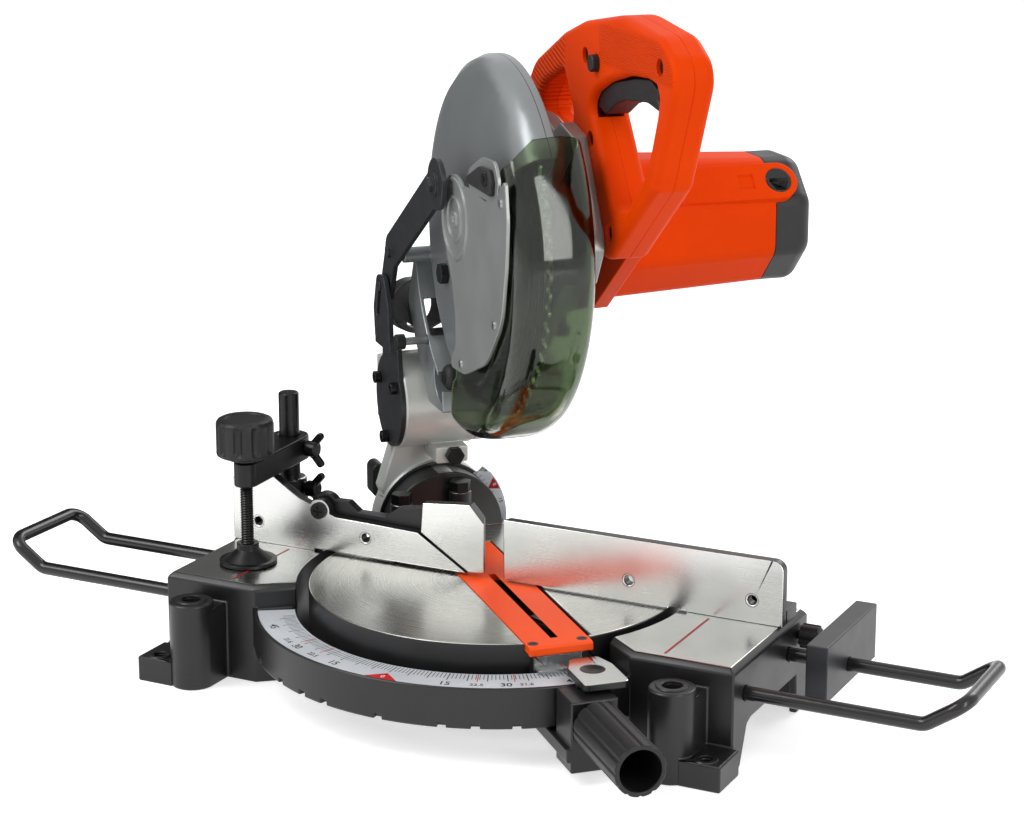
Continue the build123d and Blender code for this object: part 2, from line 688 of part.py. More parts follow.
def table_screws():
    top = TABLE_Z - KERF_DROP
    screws = Part()
    for u in (-KERF_SCREW_U, KERF_SCREW_U):
        screw = rod_z(KERF_SCREW_R, u, KERF_SCREW_V, TABLE_Z - KERF_T - 4, top - 1)
        screw += Pos(u, KERF_SCREW_V, top - 1) * Cone(KERF_SCREW_R, 2 * KERF_SCREW_R, 2)
        screw -= block(u - 2.4, u + 2.4, KERF_SCREW_V - 0.4, KERF_SCREW_V + 0.4, top - 0.8, top)
        screws += screw
    for u, height in STOPS:
        bolt = rod_z(4, u, STOP_V, height - 14, height)
        screws += bolt + slab_z(hexagon(u, STOP_V, 15), height, height + 8)
    return screws


def bevel_shaft():
    shaft = rod_y(BEVEL_SHAFT_R, 0, DISC_R - 20, 200, BEVEL_W)
    return shaft + slab_y(hexagon(0, BEVEL_W, 26), 193, 204)


def miter_lever():
    plan = rounded(4, (-4, -206), (29, -206), (29, -172), (24, -155), (3, -155), (-4, -172))
    lever = slab_z(plan, LEVER_W - 2, LEVER_W + 3)
    lever += rod_x(3.5, -4, 17, LEVER_V, LEVER_W - 1)
    return lever - Pos(12, -178, LEVER_W + 22) * Sphere(21)


def miter_grip():
    section = Plane((0, GRIP_V1, GRIP_W), z_dir=(0, -1, 0)) * fluted(GRIP_R, GRIP_FLUTES, 0.8)
    grip = extrude(section, GRIP_V1 - GRIP_V0)
    grip += rod_y(GRIP_R - 5, 0, GRIP_V1, BLOCK_FRONT - AIR, GRIP_W)
    grip -= rod_y(GRIP_BORE, 0, GRIP_V0, GRIP_V1 - 12, GRIP_W)
    return grip + rod_y(STUD_R, 0, GRIP_V1 - 13, BLOCK_FRONT + 19, GRIP_W)


def bevel_arm():
    arm = rod_y(BEVEL_RING_R, 0, BEVEL_DISC_V1 + AIR, 172, BEVEL_W)
    arm += slab_y(fan(0, BEVEL_W, 30, BEVEL_SCALE_R, -12, 44), BEVEL_DISC_V1 + 2, 162)
    flank = outline(
        (BARREL_U0, PIVOT_W), (BARREL_U0, 138), (-46, 106), (-34, BEVEL_W),
        (34, BEVEL_W), (20, 112), (18, PIVOT_W),
    )
    arm += slab_y(flank, 153, 172)
    arm += rod_x(BARREL_R, BARREL_U0, BARREL_U1, PIVOT_V, PIVOT_W)
    arm += block(BARREL_U0, BARREL_U1, PIVOT_V, PIVOT_V + 49, PIVOT_W - 26, PIVOT_W + 26)
    arm += block(BARREL_U1, LUG_U1, PIVOT_V + KNUCKLE_R + 2, PIVOT_V + 49, PIVOT_W - 26, PIVOT_W + 26)
    arm += block(LUG_U0, LUG_U1, PIVOT_V, PIVOT_V + 49, PIVOT_W - 26, PIVOT_W + 26)
    arm += rod_x(28, LUG_U0, LUG_U1, PIVOT_V, PIVOT_W)
    arm += block(-11, 15, 116, PIVOT_V, 134, 147)
    arm -= rod_x(BARREL_R - 8, BARREL_U0 + 8, BARREL_U1, PIVOT_V, PIVOT_W)
    arm -= rod_x(PIVOT_R, BARREL_U0, LUG_U1, PIVOT_V, PIVOT_W)
    arm -= rod_y(BEVEL_SHAFT_R + RUN_FIT, 0, BEVEL_DISC_V1, 200, BEVEL_W)
    arm -= rod_y(4, 3, 116, 134, 140.5)
    for v, w in BRACKET_SCREWS:
        arm -= rod_x(BRACKET_SCREW_R, BARREL_U0, BARREL_U0 + 7, v, w)
    return arm


def bevel_scale():
    face = fan(0, BEVEL_W, BEVEL_RING_R + 0.5, BEVEL_SCALE_R, -12, 44)
    return slab_y(face, BEVEL_DISC_V1 + 1.2, BEVEL_DISC_V1 + 2)


def bevel_lever():
    hub = rod_y(17, 0, 172 + AIR, 184, BEVEL_W) - rod_y(BEVEL_SHAFT_R + RUN_FIT, 0, 172, 184, BEVEL_W)
    arm = strap((-15, BEVEL_W + 10), (-40, BEVEL_W + 26), 5)
    hub += slab_y(arm, 180 + AIR, 190)
    grip = strap((-40, BEVEL_W + 20), (-40, BEVEL_W + 37), 5.5)
    return hub + slab_y(grip, 180 + AIR, 200)


def pivot_shaft():
    shaft = rod_x(PIVOT_R, BARREL_U0, LUG_U1 + 3, PIVOT_V, PIVOT_W)
    return shaft + slab_x(hexagon(PIVOT_V, PIVOT_W, 24), LUG_U1, LUG_U1 + 9)


def pivot_spring():
    coil = rod_x(24, BARREL_U0 + 11, BARREL_U1 - 1, PIVOT_V, PIVOT_W)
    return coil - rod_x(17, BARREL_U0 + 11, BARREL_U1 - 1, PIVOT_V, PIVOT_W)


def link_bracket():
    near = BARREL_U0 - BRACKET_T
    far = near - 6
    lower = spot(PIVOT_V, PIVOT_W, 37) + outline((118, PIVOT_W), (170, PIVOT_W), (166, 232), (124, 232))
    upper = rounded(9, (124, 224), (166, 224), (170, 252), (160, 280), (140, 282), (127, 258))
    plate = slab_x(lower, near, BARREL_U0)
    plate += slab_x(outline((124, 224), (166, 224), (166, 232), (124, 232)), far, near + 1)
    plate += slab_x(upper, far, far + BRACKET_T)
    plate -= slab_x(strap((LINK_V, LINK_W), (LINK_V + 6, LINK_W - 22), LINK_SLOT_R), far, far + BRACKET_T)
    for v, w in BRACKET_SCREWS:
        plate -= rod_x(BRACKET_SCREW_R, near, BARREL_U0, v, w)
    return plate


def arm_screws():
    screws = rod_y(4, 3, 116, 134, 140.5) + slab_y(hexagon(3, 140.5, 13), 110, 116)
    for v, w in BRACKET_SCREWS:
        screws += socket_screw_x(BARREL_U0 - BRACKET_T, BRACKET_T + 7, v, w, BRACKET_SCREW_R)
    return screws


def link_lever():
    left = BARREL_U0 - BRACKET_T - 1.5 + AIR
    face = strap((LINK_V, LINK_W), LINK_ELBOW, 13) + strap(LINK_ELBOW, LINK_END, 14) + spot(*LINK_END, 19)
    plate = slab_x(face, left, left + LINK_T)
    plate += rod_x(LINK_PIN_R, left - 6, left, LINK_V, LINK_W)
    plate += rod_x(9, left - 2, left, *LINK_END)
    plate += slab_x(hexagon(*LINK_END, 10), left - 6, left - 2)
    return plate + rod_x(5, left - 3, left, *LINK_ELBOW)


def gear_housing():
    reach = FLANK_CLIP / math.sqrt(2)
    far = 400
    keep = outline(
        (BLADE_V - reach - far, BLADE_W - reach + far),
        (BLADE_V - reach + far, BLADE_W - reach - far),
        (BLADE_V + far, BLADE_W + far),
    )
    face = spot(BLADE_V, BLADE_W, FLANK_R) & keep
    face += outline(
        *about_blade((-50, 92), (-75, 86), (-110, 24), (-113, 12), (-97, -15), (-25, -31), (-5, 67))
    )
    foot = [(PIVOT_V - 32, PIVOT_W - 20), (PIVOT_V + 36, PIVOT_W + 10)]
    face += outline(*foot, *about_blade((145, -33), (55, -33), (55, -81)))
    housing = slab_x(face, FLANK_U0, FLANK_U1)
    foot = [(PIVOT_V - 29, PIVOT_W - 22), (PIVOT_V + 35, PIVOT_W + 12)]
    arm = outline(*foot, *about_blade((113, -3), (57, -33), (61, -87)))
    housing += slab_x(arm, FLANK_U1, DRUM_U1)
    housing += rod_x(KNUCKLE_R, KNUCKLE_U0, KNUCKLE_U1, PIVOT_V, PIVOT_W)
    housing += rod_x(BOSS_R, CASE_U1, FLANK_U0, BLADE_V, BLADE_W)
    housing += rod_x(DRUM_R, FLANK_U1, DRUM_U1, DRUM_V, DRUM_W)
    housing -= rod_x(DRUM_R - 7, FLANK_U1 + 2, DRUM_U1, DRUM_V, DRUM_W)
    housing -= rod_x(2 * SPINDLE_R, CASE_U1 + 3, CASE_U1 + 3 + BEARING_W, BLADE_V, BLADE_W)
    housing -= rod_x(SPINDLE_R + 2, CASE_U1, DRUM_U1, BLADE_V, BLADE_W)
    housing -= rod_x(PIVOT_R + RUN_FIT, KNUCKLE_U0, KNUCKLE_U1, PIVOT_V, PIVOT_W)
    return housing - rod_z(LOCK_R + RUN_FIT, LOCK_U, BLADE_V, BLADE_W - 90, BLADE_W - 40)


def shaft_lock():
    pin = rod_z(LOCK_R, LOCK_U, BLADE_V, BLADE_W - 68, BLADE_W - 29)
    return pin + rod_z(8, LOCK_U, BLADE_V, BLADE_W - 74, BLADE_W - 68)


def turned_shell(points, a0, arc):
    turn = math.radians(a0)
    ahead = (0, math.cos(turn), math.sin(turn))
    start = Plane((0, BLADE_V, BLADE_W), x_dir=ahead, z_dir=(0, math.sin(turn), -math.cos(turn)))
    return revolve(start * outline(*points), Axis((0, BLADE_V, BLADE_W), (1, 0, 0)), arc)


def case_lip():
    face = shaped(*about_blade(
        (101, -1, 4), (127, -25, 14), (150, -75, 14), (129, -104, 10), (94, -143, 6), (57, -143, 1.5),
        (60, -40, 4),
    ))
    return face - spot(BLADE_V, BLADE_W, CASE_R - CASE_T / 2)


def blade_case():
    bore = SPINDLE_R + 2
    inner_r = CASE_R - CASE_T
    crown = [
        (CASE_R, 3), (CASE_R - 3.5, -5), (CASE_R - 13, -12.5), (CASE_R - 29, -17), (CASE_R - 47, CASE_U0),
        (CASE_OPEN_R + 3, CASE_U0),
    ]
    hollow = [
        (CASE_OPEN_R + 3, CASE_U0 + 3), (CASE_R - 48, CASE_U0 + 3), (CASE_R - 30.5, -14),
        (CASE_R - 15.2, -10), (CASE_R - 6.5, -3.3), (inner_r, 3.5),
    ]
    profile = [(bore + 3, CASE_U1), (CASE_R, CASE_U1)] + crown + hollow
    profile += [(inner_r, CASE_U1 - 3), (bore + 3, CASE_U1 - 3)]
    case = turned_shell(profile, CASE_A0, CASE_A1 - CASE_A0)
    boss = spot(BLADE_V, BLADE_W, BOSS_R)
    case += slab_x(boss - spot(BLADE_V, BLADE_W, CASE_OPEN_R), CASE_U0, CASE_U0 + 3)
    case += slab_x(boss - spot(BLADE_V, BLADE_W, bore), CASE_U1 - 3, CASE_U1)
    case += slab_x(case_lip(), LIP_U0, CASE_U1)
    recess = spot(*BUMPER_AT, 2 * BUMPER_R) & offset(case_lip(), -LIP_RIM)
    case -= slab_x(recess, LIP_U0, LIP_FLOOR)
    case -= rod_x(BUMPER_R + AIR, LIP_U0, LIP_FLOOR, *BUMPER_AT)
    case += rod_x(BUMPER_R, LIP_FLOOR, LIP_FLOOR + 8, *BUMPER_AT)
    duct = strap((BLADE_V + 105, BLADE_W - 81), (BLADE_V + 160, BLADE_W - 81), 14)
    case -= slab_x(duct, LIP_U0 + 3, CASE_U1 - 3)
    case += rod_x(6, BARREL_U0, -11, *POST_AT)
    case -= rod_x(STOPPER_R + RUN_FIT, LIP_U0, CASE_U1, *STOPPER_AT)
    return case - rod_x(BUMPER_PEG_R, LIP_FLOOR, LIP_FLOOR + 6, *BUMPER_AT)


def dust_nozzle():
    lean = Plane((-3, *NOZZLE_AT), z_dir=(0, 0.94, -0.1))
    tube = Pos(0, 0, NOZZLE_LENGTH / 2) * Cylinder(NOZZLE_R, NOZZLE_LENGTH)
    tube += Pos(0, 0, NOZZLE_LENGTH - COLLAR_LENGTH / 2) * Cylinder(COLLAR_R, COLLAR_LENGTH)
    tube -= Pos(0, 0, NOZZLE_LENGTH / 2) * Cylinder(NOZZLE_BORE, NOZZLE_LENGTH)
    nozzle = lean * tube - slab_x(spot(PIVOT_V, PIVOT_W, 60), CASE_U0 - 10, CASE_U1 + 10)
    return nozzle - slab_x(case_lip(), LIP_U0 - 10, CASE_U1 + 10)


def guard_bumper():
    pad = rod_x(BUMPER_R, LIP_FLOOR - BUMPER_R, LIP_FLOOR, *BUMPER_AT)
    pad = fillet(pad.edges().group_by(Axis.X)[0], BUMPER_R / 2)
    return pad + rod_x(BUMPER_PEG_R, LIP_FLOOR, LIP_FLOOR + 6, *BUMPER_AT)


def stopper_pin():
    pin = rod_x(STOPPER_R, LIP_U0 - 19, LIP_U0 + 16, *STOPPER_AT)
    return pin + rod_x(2 * STOPPER_R, LIP_U0 - 25, LIP_U0 - 18, *STOPPER_AT)


def lower_guard():
    r = GUARD_R
    half = GUARD_HALF
    t = GUARD_T
    web = BOSS_R + 3.5
    outer = [
        (r - 57.5, -half), (r - 33.5, -half), (r - 28.5, 3 - half), (r - 15.5, 2 - half),
        (r - 5.5, 6 - half), (r, 17 - half), (r, half - 15), (r - 4, half - 4.5),
        (r - 13.5, half), (web, half),
    ]
    inner = [
        (web, half - t), (r - 13.5 - t / 2, half - t), (r - 4 - t, half - 4.5 - t / 2), (r - t, half - 15),
        (r - t, 17 - half), (r - 5.5 - t, 6 - half + t), (r - 15.5 - t / 2, 2 - half + t),
        (r - 28.5, 3 - half + t), (r - 33.5, t - half), (r - 57.5, t - half),
    ]
    guard = turned_shell(outer + inner, GUARD_A0, GUARD_ARC)
    hub = rod_x(BOSS_R + 7, 24, 32, BLADE_V, BLADE_W) - rod_x(BOSS_R + RUN_FIT, 24, 32, BLADE_V, BLADE_W)
    return guard + hub


def cover_face():
    face = shaped(*about_blade(
        (-126, 68, 3), (-131, 39, 30), (-128, 7, 50), (-118, -35, 50), (-82, -71, 50), (-33, -90, 30),
        (4, -92, 4), (-12, -71, 8), (-11, -51, 12), (-3, -27, 12), (14, -2, 12), (2, 45, 8),
        (-50, 48, 20), (-83, 45, 20), (-109, 53, 15),
    ))
    return face + spot(*COVER_DISC_AT, 32)


def dome_face(more):
    face = shaped(*about_blade((-38, 53, 3), (-77, 69, 8), (-101, 70, 5), (-106, 62, 5), (-104, 52, 3)))
    return offset(face, more) if more else face


def guard_cover():
    cover = slab_x(cover_face() + dome_face(6), COVER_U0, COVER_U1)
    for outer, inner in COVER_RINGS:
        ring = spot(*COVER_DISC_AT, outer) - spot(*COVER_DISC_AT, inner)
        cover += slab_x(ring, COVER_U0 - COVER_RIDGE, COVER_U0)
    for v, w in RIVETS:
        cover += rod_x(3, COVER_U0 - 1.2, COVER_U0, v, w)
    return cover + rod_x(5, COVER_U0 - 3.5, COVER_U0, *LINK_END)


def guard_dome():
    dome = slab_x(dome_face(0), COVER_U0 - DOME_T, COVER_U0)
    return fillet(dome.edges().group_by(Axis.X)[0], DOME_T / 2)


def saw_blade():
    points = []
    step = 360 / TEETH
    for i in range(TEETH):
        points.append(polar(0, 0, BLADE_R, i * step))
        points.append(polar(0, 0, BLADE_R - 1, (i + 0.45) * step))
        points.append(polar(0, 0, BLADE_R - GULLET, (i + 0.7) * step))
        points.append(polar(0, 0, BLADE_R - GULLET + 1, (i + 0.95) * step))
    face = outline(*points) - Circle(SPINDLE_R)
    return slab_x(Pos(BLADE_V, BLADE_W) * face, -BLADE_T / 2, BLADE_T / 2)


def blade_flanges():
    pair = Part()
    for u0, u1 in ((BLADE_T / 2, 7), (-7, -BLADE_T / 2)):
        pair += rod_x(FLANGE_R, u0, u1, BLADE_V, BLADE_W) - rod_x(SPINDLE_R, u0, u1, BLADE_V, BLADE_W)
    return pair


def spindle():
    shaft = rod_x(SPINDLE_R, -9, FLANK_U1 + 14, BLADE_V, BLADE_W)
    shaft += rod_x(SMALL_SHAFT_R, FLANK_U1 + 14, MOTOR_U0 + 8, BLADE_V, BLADE_W)
    return shaft + rod_x(GEAR_R, GEAR_U0, GEAR_U1, BLADE_V, BLADE_W)


def blade_bolt():
    bolt = rod_x(11, -12, -9, BLADE_V, BLADE_W)
    return bolt + slab_x(hexagon(BLADE_V, BLADE_W, 13), -18, -12)


def bearing(u, v, w, bore, outer):
    return rod_x(outer, u, u + BEARING_W, v, w) - rod_x(bore + RUN_FIT, u, u + BEARING_W, v, w)


def bearings():
    rings = bearing(CASE_U1 + 3, BLADE_V, BLADE_W, SPINDLE_R, 2 * SPINDLE_R)
    rings += bearing(MOTOR_U0 + 1, BLADE_V, BLADE_W, SMALL_SHAFT_R, SMALL_BEARING_R)
    rings += bearing(MOTOR_U0 + 1, MOTOR_V, MOTOR_W, SMALL_SHAFT_R, MOTOR_BEARING_R)
    return rings + bearing(MOTOR_U3 - 20, MOTOR_V, MOTOR_W, SMALL_SHAFT_R, MOTOR_BEARING_R)


def armature():
    rotor = rod_x(SMALL_SHAFT_R, GEAR_U0, MOTOR_U3 - 10, MOTOR_V, MOTOR_W)
    rotor += rod_x(PINION_R, GEAR_U0, GEAR_U1, MOTOR_V, MOTOR_W)
    rotor += rod_x(ROTOR_R, FIELD_U0 + 4, FIELD_U1 - 4, MOTOR_V, MOTOR_W)
    rotor += rod_x(10, FAN_U1 + 2, FIELD_U1 + 6, MOTOR_V, MOTOR_W)
    return rotor + rod_x(15, FIELD_U1 + 6, FIELD_U1 + 26, MOTOR_V, MOTOR_W)


def motor_fan():
    disc = rod_x(FAN_R, FAN_U0, FAN_U0 + 3, MOTOR_V, MOTOR_W)
    disc += rod_x(12, FAN_U0, FAN_U1, MOTOR_V, MOTOR_W)
    blade = block(FAN_U0 + 2, FAN_U1, -1, 1, 11, FAN_R - 1)
    for i in range(FAN_BLADES):
        disc += Pos(0, MOTOR_V, MOTOR_W) * Rot(360 * i / FAN_BLADES, 0, 0) * blade
    return disc - rod_x(SMALL_SHAFT_R, FAN_U0, FAN_U1, MOTOR_V, MOTOR_W)


def motor_face(half):
    face = Pos(MOTOR_V, MOTOR_W) * Rot(0, 0, 22.5) * RegularPolygon(half, 8, major_radius=False)
    return fillet(face.vertices(), half / 3)


def motor_field():
    ring = rod_x(FIELD_R, FIELD_U0, FIELD_U1, MOTOR_V, MOTOR_W)
    return ring - rod_x(FIELD_BORE, FIELD_U0, FIELD_U1, MOTOR_V, MOTOR_W)


def motor_body(wall):
    near = Plane.YZ.offset(MOTOR_U1) * motor_face(MOTOR_HALF - wall)
    far = Plane.YZ.offset(MOTOR_U2) * motor_face(MOTOR_END_HALF - wall)
    return loft([near, far])


def brush_strip():
    top = MOTOR_HALF + 1.5
    strip = slab_z(strap((STRIP_U0, 0), (BRUSH_U, 0), STRIP_R), MOTOR_END_HALF - 2, top)
    strip -= block(POCKET_U - POCKET / 2, POCKET_U + POCKET / 2, -POCKET / 2, POCKET / 2, top - 1.5, top)
    return BRUSH_TURN * strip


def motor_web():
    return outline(
        *about_blade((-109, 5), (-41, -46), (-10, -54), (30, -57), (30, 57), (-41, 65), (-89, 12)),
    )


def motor_housing():
    body = rod_x(MOTOR_FLANGE_R, MOTOR_U0, MOTOR_U1, MOTOR_V, MOTOR_W)
    body += slab_x(motor_web(), MOTOR_U0, MOTOR_U1)
    body += motor_body(0) + brush_strip()
    body -= motor_body(MOTOR_WALL)
    body -= BRUSH_TURN * rod_z(BRUSH_R, BRUSH_U, 0, MOTOR_END_HALF - 2, MOTOR_HALF + 2)
    body -= bearing_seat(BLADE_V, BLADE_W, SMALL_BEARING_R)
    body -= bearing_seat(MOTOR_V, MOTOR_W, MOTOR_BEARING_R)
    return body - rod_x(8, MOTOR_U0, MOTOR_U1, MOTOR_V, MOTOR_W)


def bearing_seat(v, w, outer):
    return rod_x(outer, MOTOR_U0, MOTOR_U0 + 1 + BEARING_W, v, w)


def motor_cover():
    cover = slab_x(motor_face(MOTOR_END_HALF), MOTOR_U2, MOTOR_U3)
    cover = fillet(cover.edges().group_by(Axis.X)[-1], MOTOR_ROUND)
    cover -= slab_x(motor_face(MOTOR_END_HALF - MOTOR_WALL), MOTOR_U2, MOTOR_U3 - 20)
    cover -= rod_x(MOTOR_BEARING_R, MOTOR_U3 - 20, MOTOR_U3 - 20 + BEARING_W, MOTOR_V, MOTOR_W)
    cover -= rod_x(8, MOTOR_U3 - 12, MOTOR_U3 - 6, MOTOR_V, MOTOR_W)
    return cover - brush_strip()


def brush_cap():
    cap = rod_z(BRUSH_R, BRUSH_U, 0, MOTOR_END_HALF - 2, MOTOR_HALF + 1.5)
    cap -= block(BRUSH_U - 7, BRUSH_U + 7, -1, 1, MOTOR_HALF, MOTOR_HALF + 2)
    return BRUSH_TURN * cap


def handle_face():
    face = shaped(*about_blade(
        (-60, 164, 60), (-135, 176, 90), (-205, 169, 40), (-239, 151, 20), (-199, 67, 9), (-120, 7, 7),
        (-108, 4, 7), (-89, 12, 9), (-47, 63, 13), (5, 47, 13), (59, 52, 13), (68, 97, 13),
        (42, 125, 40), (-20, 152, 40),
    ))
    hole = shaped(*about_blade(
        (-208, 136, 9), (-203, 118, 12), (-186, 79, 9), (-146, 44, 9), (-126, 42, 9), (-77, 107, 9),
        (-88, 118, 10), (-112, 128, 40), (-150, 137, 60), (-182, 139, 30),
    ))
    gap = shaped(*about_blade((-45, 93, 7), (-22, 126, 7), (20, 110, 20), (38, 88, 7), (-11, 79, 7)))
    return face - hole - gap


def handle_shell(u0, u1, wall_u0, wall_u1, round_end):
    face = handle_face()
    shell = slab_x(face, u0, u1)
    shell = fillet(shell.faces().sort_by(Axis.X)[round_end].edges(), HANDLE_ROUND)
    shell -= slab_x(offset(face, -HANDLE_WALL - 3), wall_u0, wall_u1)
    for v, w in HANDLE_SCREWS:
        shell += rod_x(7, u0 + 2, u1 - 2, v, w)
    shell -= rod_x(MOTOR_FLANGE_R + AIR, u0, u1, MOTOR_V, MOTOR_W)
    shell -= rod_x(DRUM_R + AIR, u0, DRUM_U1 + AIR, DRUM_V, DRUM_W)
    slot = outline(*about_blade((-202, 118), (-73, 98), (-73, 146), (-150, 146), (-202, 139)))
    return shell - slab_x(slot, TRIGGER_U0 - AIR, TRIGGER_U1 + AIR)


def handle_left():
    shell = handle_shell(HANDLE_U0, HANDLE_MID, HANDLE_U0 + HANDLE_WALL, HANDLE_MID, 0)
    for v, w in HANDLE_SCREWS:
        shell -= rod_x(HANDLE_SCREW_R, HANDLE_U0, HANDLE_MID, v, w)
        shell -= rod_x(HANDLE_HEAD_R + AIR, HANDLE_U0, HANDLE_U0 + 6, v, w)
    return shell - rod_x(BUTTON_R + RUN_FIT, HANDLE_U0, HANDLE_MID, *BUTTON_AT)


def handle_right():
    shell = handle_shell(HANDLE_MID, HANDLE_U1, HANDLE_MID, HANDLE_U1 - HANDLE_WALL, -1)
    for v, w in HANDLE_SCREWS:
        shell -= rod_x(HANDLE_SCREW_R, HANDLE_MID, HANDLE_U1 - 4, v, w)
    return shell - slab_x(offset(motor_web(), AIR), MOTOR_U0 - AIR, HANDLE_U1)


def head_screws():
    screws = slab_x(hexagon(*CASE_BOLT_AT, 14), CASE_U0 - 6, CASE_U0)
    for v, w in HANDLE_SCREWS:
        screw = rod_x(HANDLE_SCREW_R, HANDLE_U0 + 6, HANDLE_U1 - 4, v, w)
        screws += screw + rod_x(HANDLE_HEAD_R, HANDLE_U0 + 2.5, HANDLE_U0 + 6, v, w)
    return screws


def trigger():
    face = shaped(*about_blade(
        (-76, 108, 3), (-94, 103, 3), (-112, 112, 20), (-132, 118, 30), (-172, 122, 40), (-193, 119, 1),
        (-193, 131, 2), (-177, 138, 10), (-149, 135, 40), (-112, 128, 30), (-84, 118, 8),
    ))
    face += spot(*TRIGGER_AT, 2 * TRIGGER_PIN_R)
    lever = slab_x(face, TRIGGER_U0, TRIGGER_U1)
    return lever - rod_x(TRIGGER_PIN_R, TRIGGER_U0, TRIGGER_U1, *TRIGGER_AT)


def lock_button():
    return rod_x(BUTTON_R, HANDLE_U0 - 5, HANDLE_U0 + 8, *BUTTON_AT)


def switch_body():
    v = BLADE_V - 127
    w = BLADE_W + 146
    return block(TRIGGER_U0 + 1, TRIGGER_U1 - 1, v - 18, v + 18, w, w + 18)


WORLD = (
    base_casting, scale_plate, base_bolts, holder_right, holder_left, rod_clamp_right, rod_clamp_left,
    set_plate, set_plate_screw, fence_right, fence_left, sub_fence, sub_fence_screw,
    vise_rod, vise_arm, vise_arm_screw, vise_rod_screw, vise_foot, vise_screw,
)
TURNED = (
    turn_table, kerf_board, table_screws, miter_pointer, bevel_shaft, miter_lever, miter_grip,
    bevel_arm, bevel_scale, arm_screws, bevel_lever, pivot_shaft, pivot_spring, link_bracket,
    link_lever, gear_housing, shaft_lock, blade_case, dust_nozzle, head_screws, guard_bumper, stopper_pin,
    lower_guard, guard_cover, guard_dome, saw_blade, blade_flanges, spindle, blade_bolt,
    bearings, armature, motor_fan, motor_field, motor_housing, motor_cover,
    brush_cap, handle_left, handle_right, trigger, lock_button, switch_body,
)

for make in WORLD:
    export_step(make(), f"parts/{make.__name__}.step")
for make in TURNED:
    export_step(Rot(0, 0, MITER_REST) * make(), f"parts/{make.__name__}.step")
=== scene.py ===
import json
import math

import bmesh
import bpy
from mathutils import Matrix, Vector

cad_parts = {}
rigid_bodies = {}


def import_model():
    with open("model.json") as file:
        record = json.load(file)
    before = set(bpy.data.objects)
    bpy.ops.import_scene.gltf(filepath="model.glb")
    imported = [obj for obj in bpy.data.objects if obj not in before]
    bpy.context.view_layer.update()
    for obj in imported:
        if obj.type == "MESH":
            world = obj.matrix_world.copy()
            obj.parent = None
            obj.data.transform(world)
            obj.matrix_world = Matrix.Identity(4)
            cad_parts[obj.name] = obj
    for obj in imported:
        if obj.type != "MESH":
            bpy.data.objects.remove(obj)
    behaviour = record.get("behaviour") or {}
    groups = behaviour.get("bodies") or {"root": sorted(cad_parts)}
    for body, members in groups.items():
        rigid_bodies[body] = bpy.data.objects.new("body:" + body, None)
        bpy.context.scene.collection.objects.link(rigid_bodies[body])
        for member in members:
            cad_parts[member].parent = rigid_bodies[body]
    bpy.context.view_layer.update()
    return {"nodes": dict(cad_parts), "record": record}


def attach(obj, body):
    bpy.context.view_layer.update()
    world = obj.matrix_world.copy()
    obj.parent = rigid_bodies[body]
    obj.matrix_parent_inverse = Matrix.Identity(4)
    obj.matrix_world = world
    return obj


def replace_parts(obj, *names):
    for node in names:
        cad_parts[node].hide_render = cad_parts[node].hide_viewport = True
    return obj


for stray in list(bpy.data.objects):
    bpy.data.objects.remove(stray)
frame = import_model()


# Base: one die casting with two wings, four feet and the scale ring, enamelled black all over.
# The wing tops are milled after painting, so bright metal stops sharply at the painted edge.
# Sizes here are millimetres and meshes are metres, so lengths are divided by 1000.
def hex_linear(code):
    channels = [int(code[i:i + 2], 16) / 255 for i in (1, 3, 5)]
    return [c / 12.92 if c <= 0.04045 else ((c + 0.055) / 1.055) ** 2.4 for c in channels] + [1.0]


def node(tree, kind, inputs=None, **settings):
    made = tree.nodes.new(kind)
    for name, value in settings.items():
        setattr(made, name, value)
    for key, value in (inputs or {}).items():
        if isinstance(value, bpy.types.NodeSocket):
            tree.links.new(value, made.inputs[key])
        else:
            made.inputs[key].default_value = value
    return made


def start_material(name, **sockets):
    made = bpy.data.materials.new(name)
    made.use_nodes = True
    shader = made.node_tree.nodes["Principled BSDF"]
    for key, value in sockets.items():
        shader.inputs[key.replace("_", " ")].default_value = value
    return made, made.node_tree, shader


# A Mix node that is set to colour has its two colours and its result on these sockets.
MIX_A, MIX_B, MIX_RESULT = 6, 7, 2


# Two shades are mixed by broad blotches and fine grain, which also set how dull and how rough the skin is.
def surface(name, shades, blotch_mm, rough, grain_mm, bump_mm, **sockets):
    made, tree, shader = start_material(name, **sockets)
    spot = node(tree, "ShaderNodeTexCoord").outputs["Object"]
    sizes = grain_mm if isinstance(grain_mm, tuple) else (grain_mm,) * 3
    grid = node(tree, "ShaderNodeMapping", {"Vector": spot, "Scale": [1000 / size for size in sizes]})
    fine = node(tree, "ShaderNodeTexNoise", {"Vector": grid.outputs[0], "Scale": 1.0, "Detail": 2.0})
    broad = node(tree, "ShaderNodeTexNoise", {"Vector": spot, "Scale": 1000 / blotch_mm, "Detail": 4.0})
    spread = node(
        tree, "ShaderNodeMapRange", {"Value": broad.outputs["Fac"], "From Min": 0.3, "From Max": 0.7}
    )
    worn = node(tree, "ShaderNodeMath", {0: spread.outputs[0], 1: fine.outputs["Fac"]}, operation="MULTIPLY")
    colour = node(
        tree, "ShaderNodeMix",
        {0: worn.outputs[0], MIX_A: hex_linear(shades[0]), MIX_B: hex_linear(shades[1])}, data_type="RGBA",
    )
    dull = node(
        tree, "ShaderNodeMapRange", {"Value": worn.outputs[0], "To Min": rough[0], "To Max": rough[1]}
    )
    relief = node(tree, "ShaderNodeBump", {"Height": fine.outputs["Fac"], "Distance": bump_mm / 1000})
    tree.links.new(colour.outputs[MIX_RESULT], shader.inputs["Base Color"])
    tree.links.new(dull.outputs[0], shader.inputs["Roughness"])
    tree.links.new(relief.outputs[0], shader.inputs["Normal"])
    return made


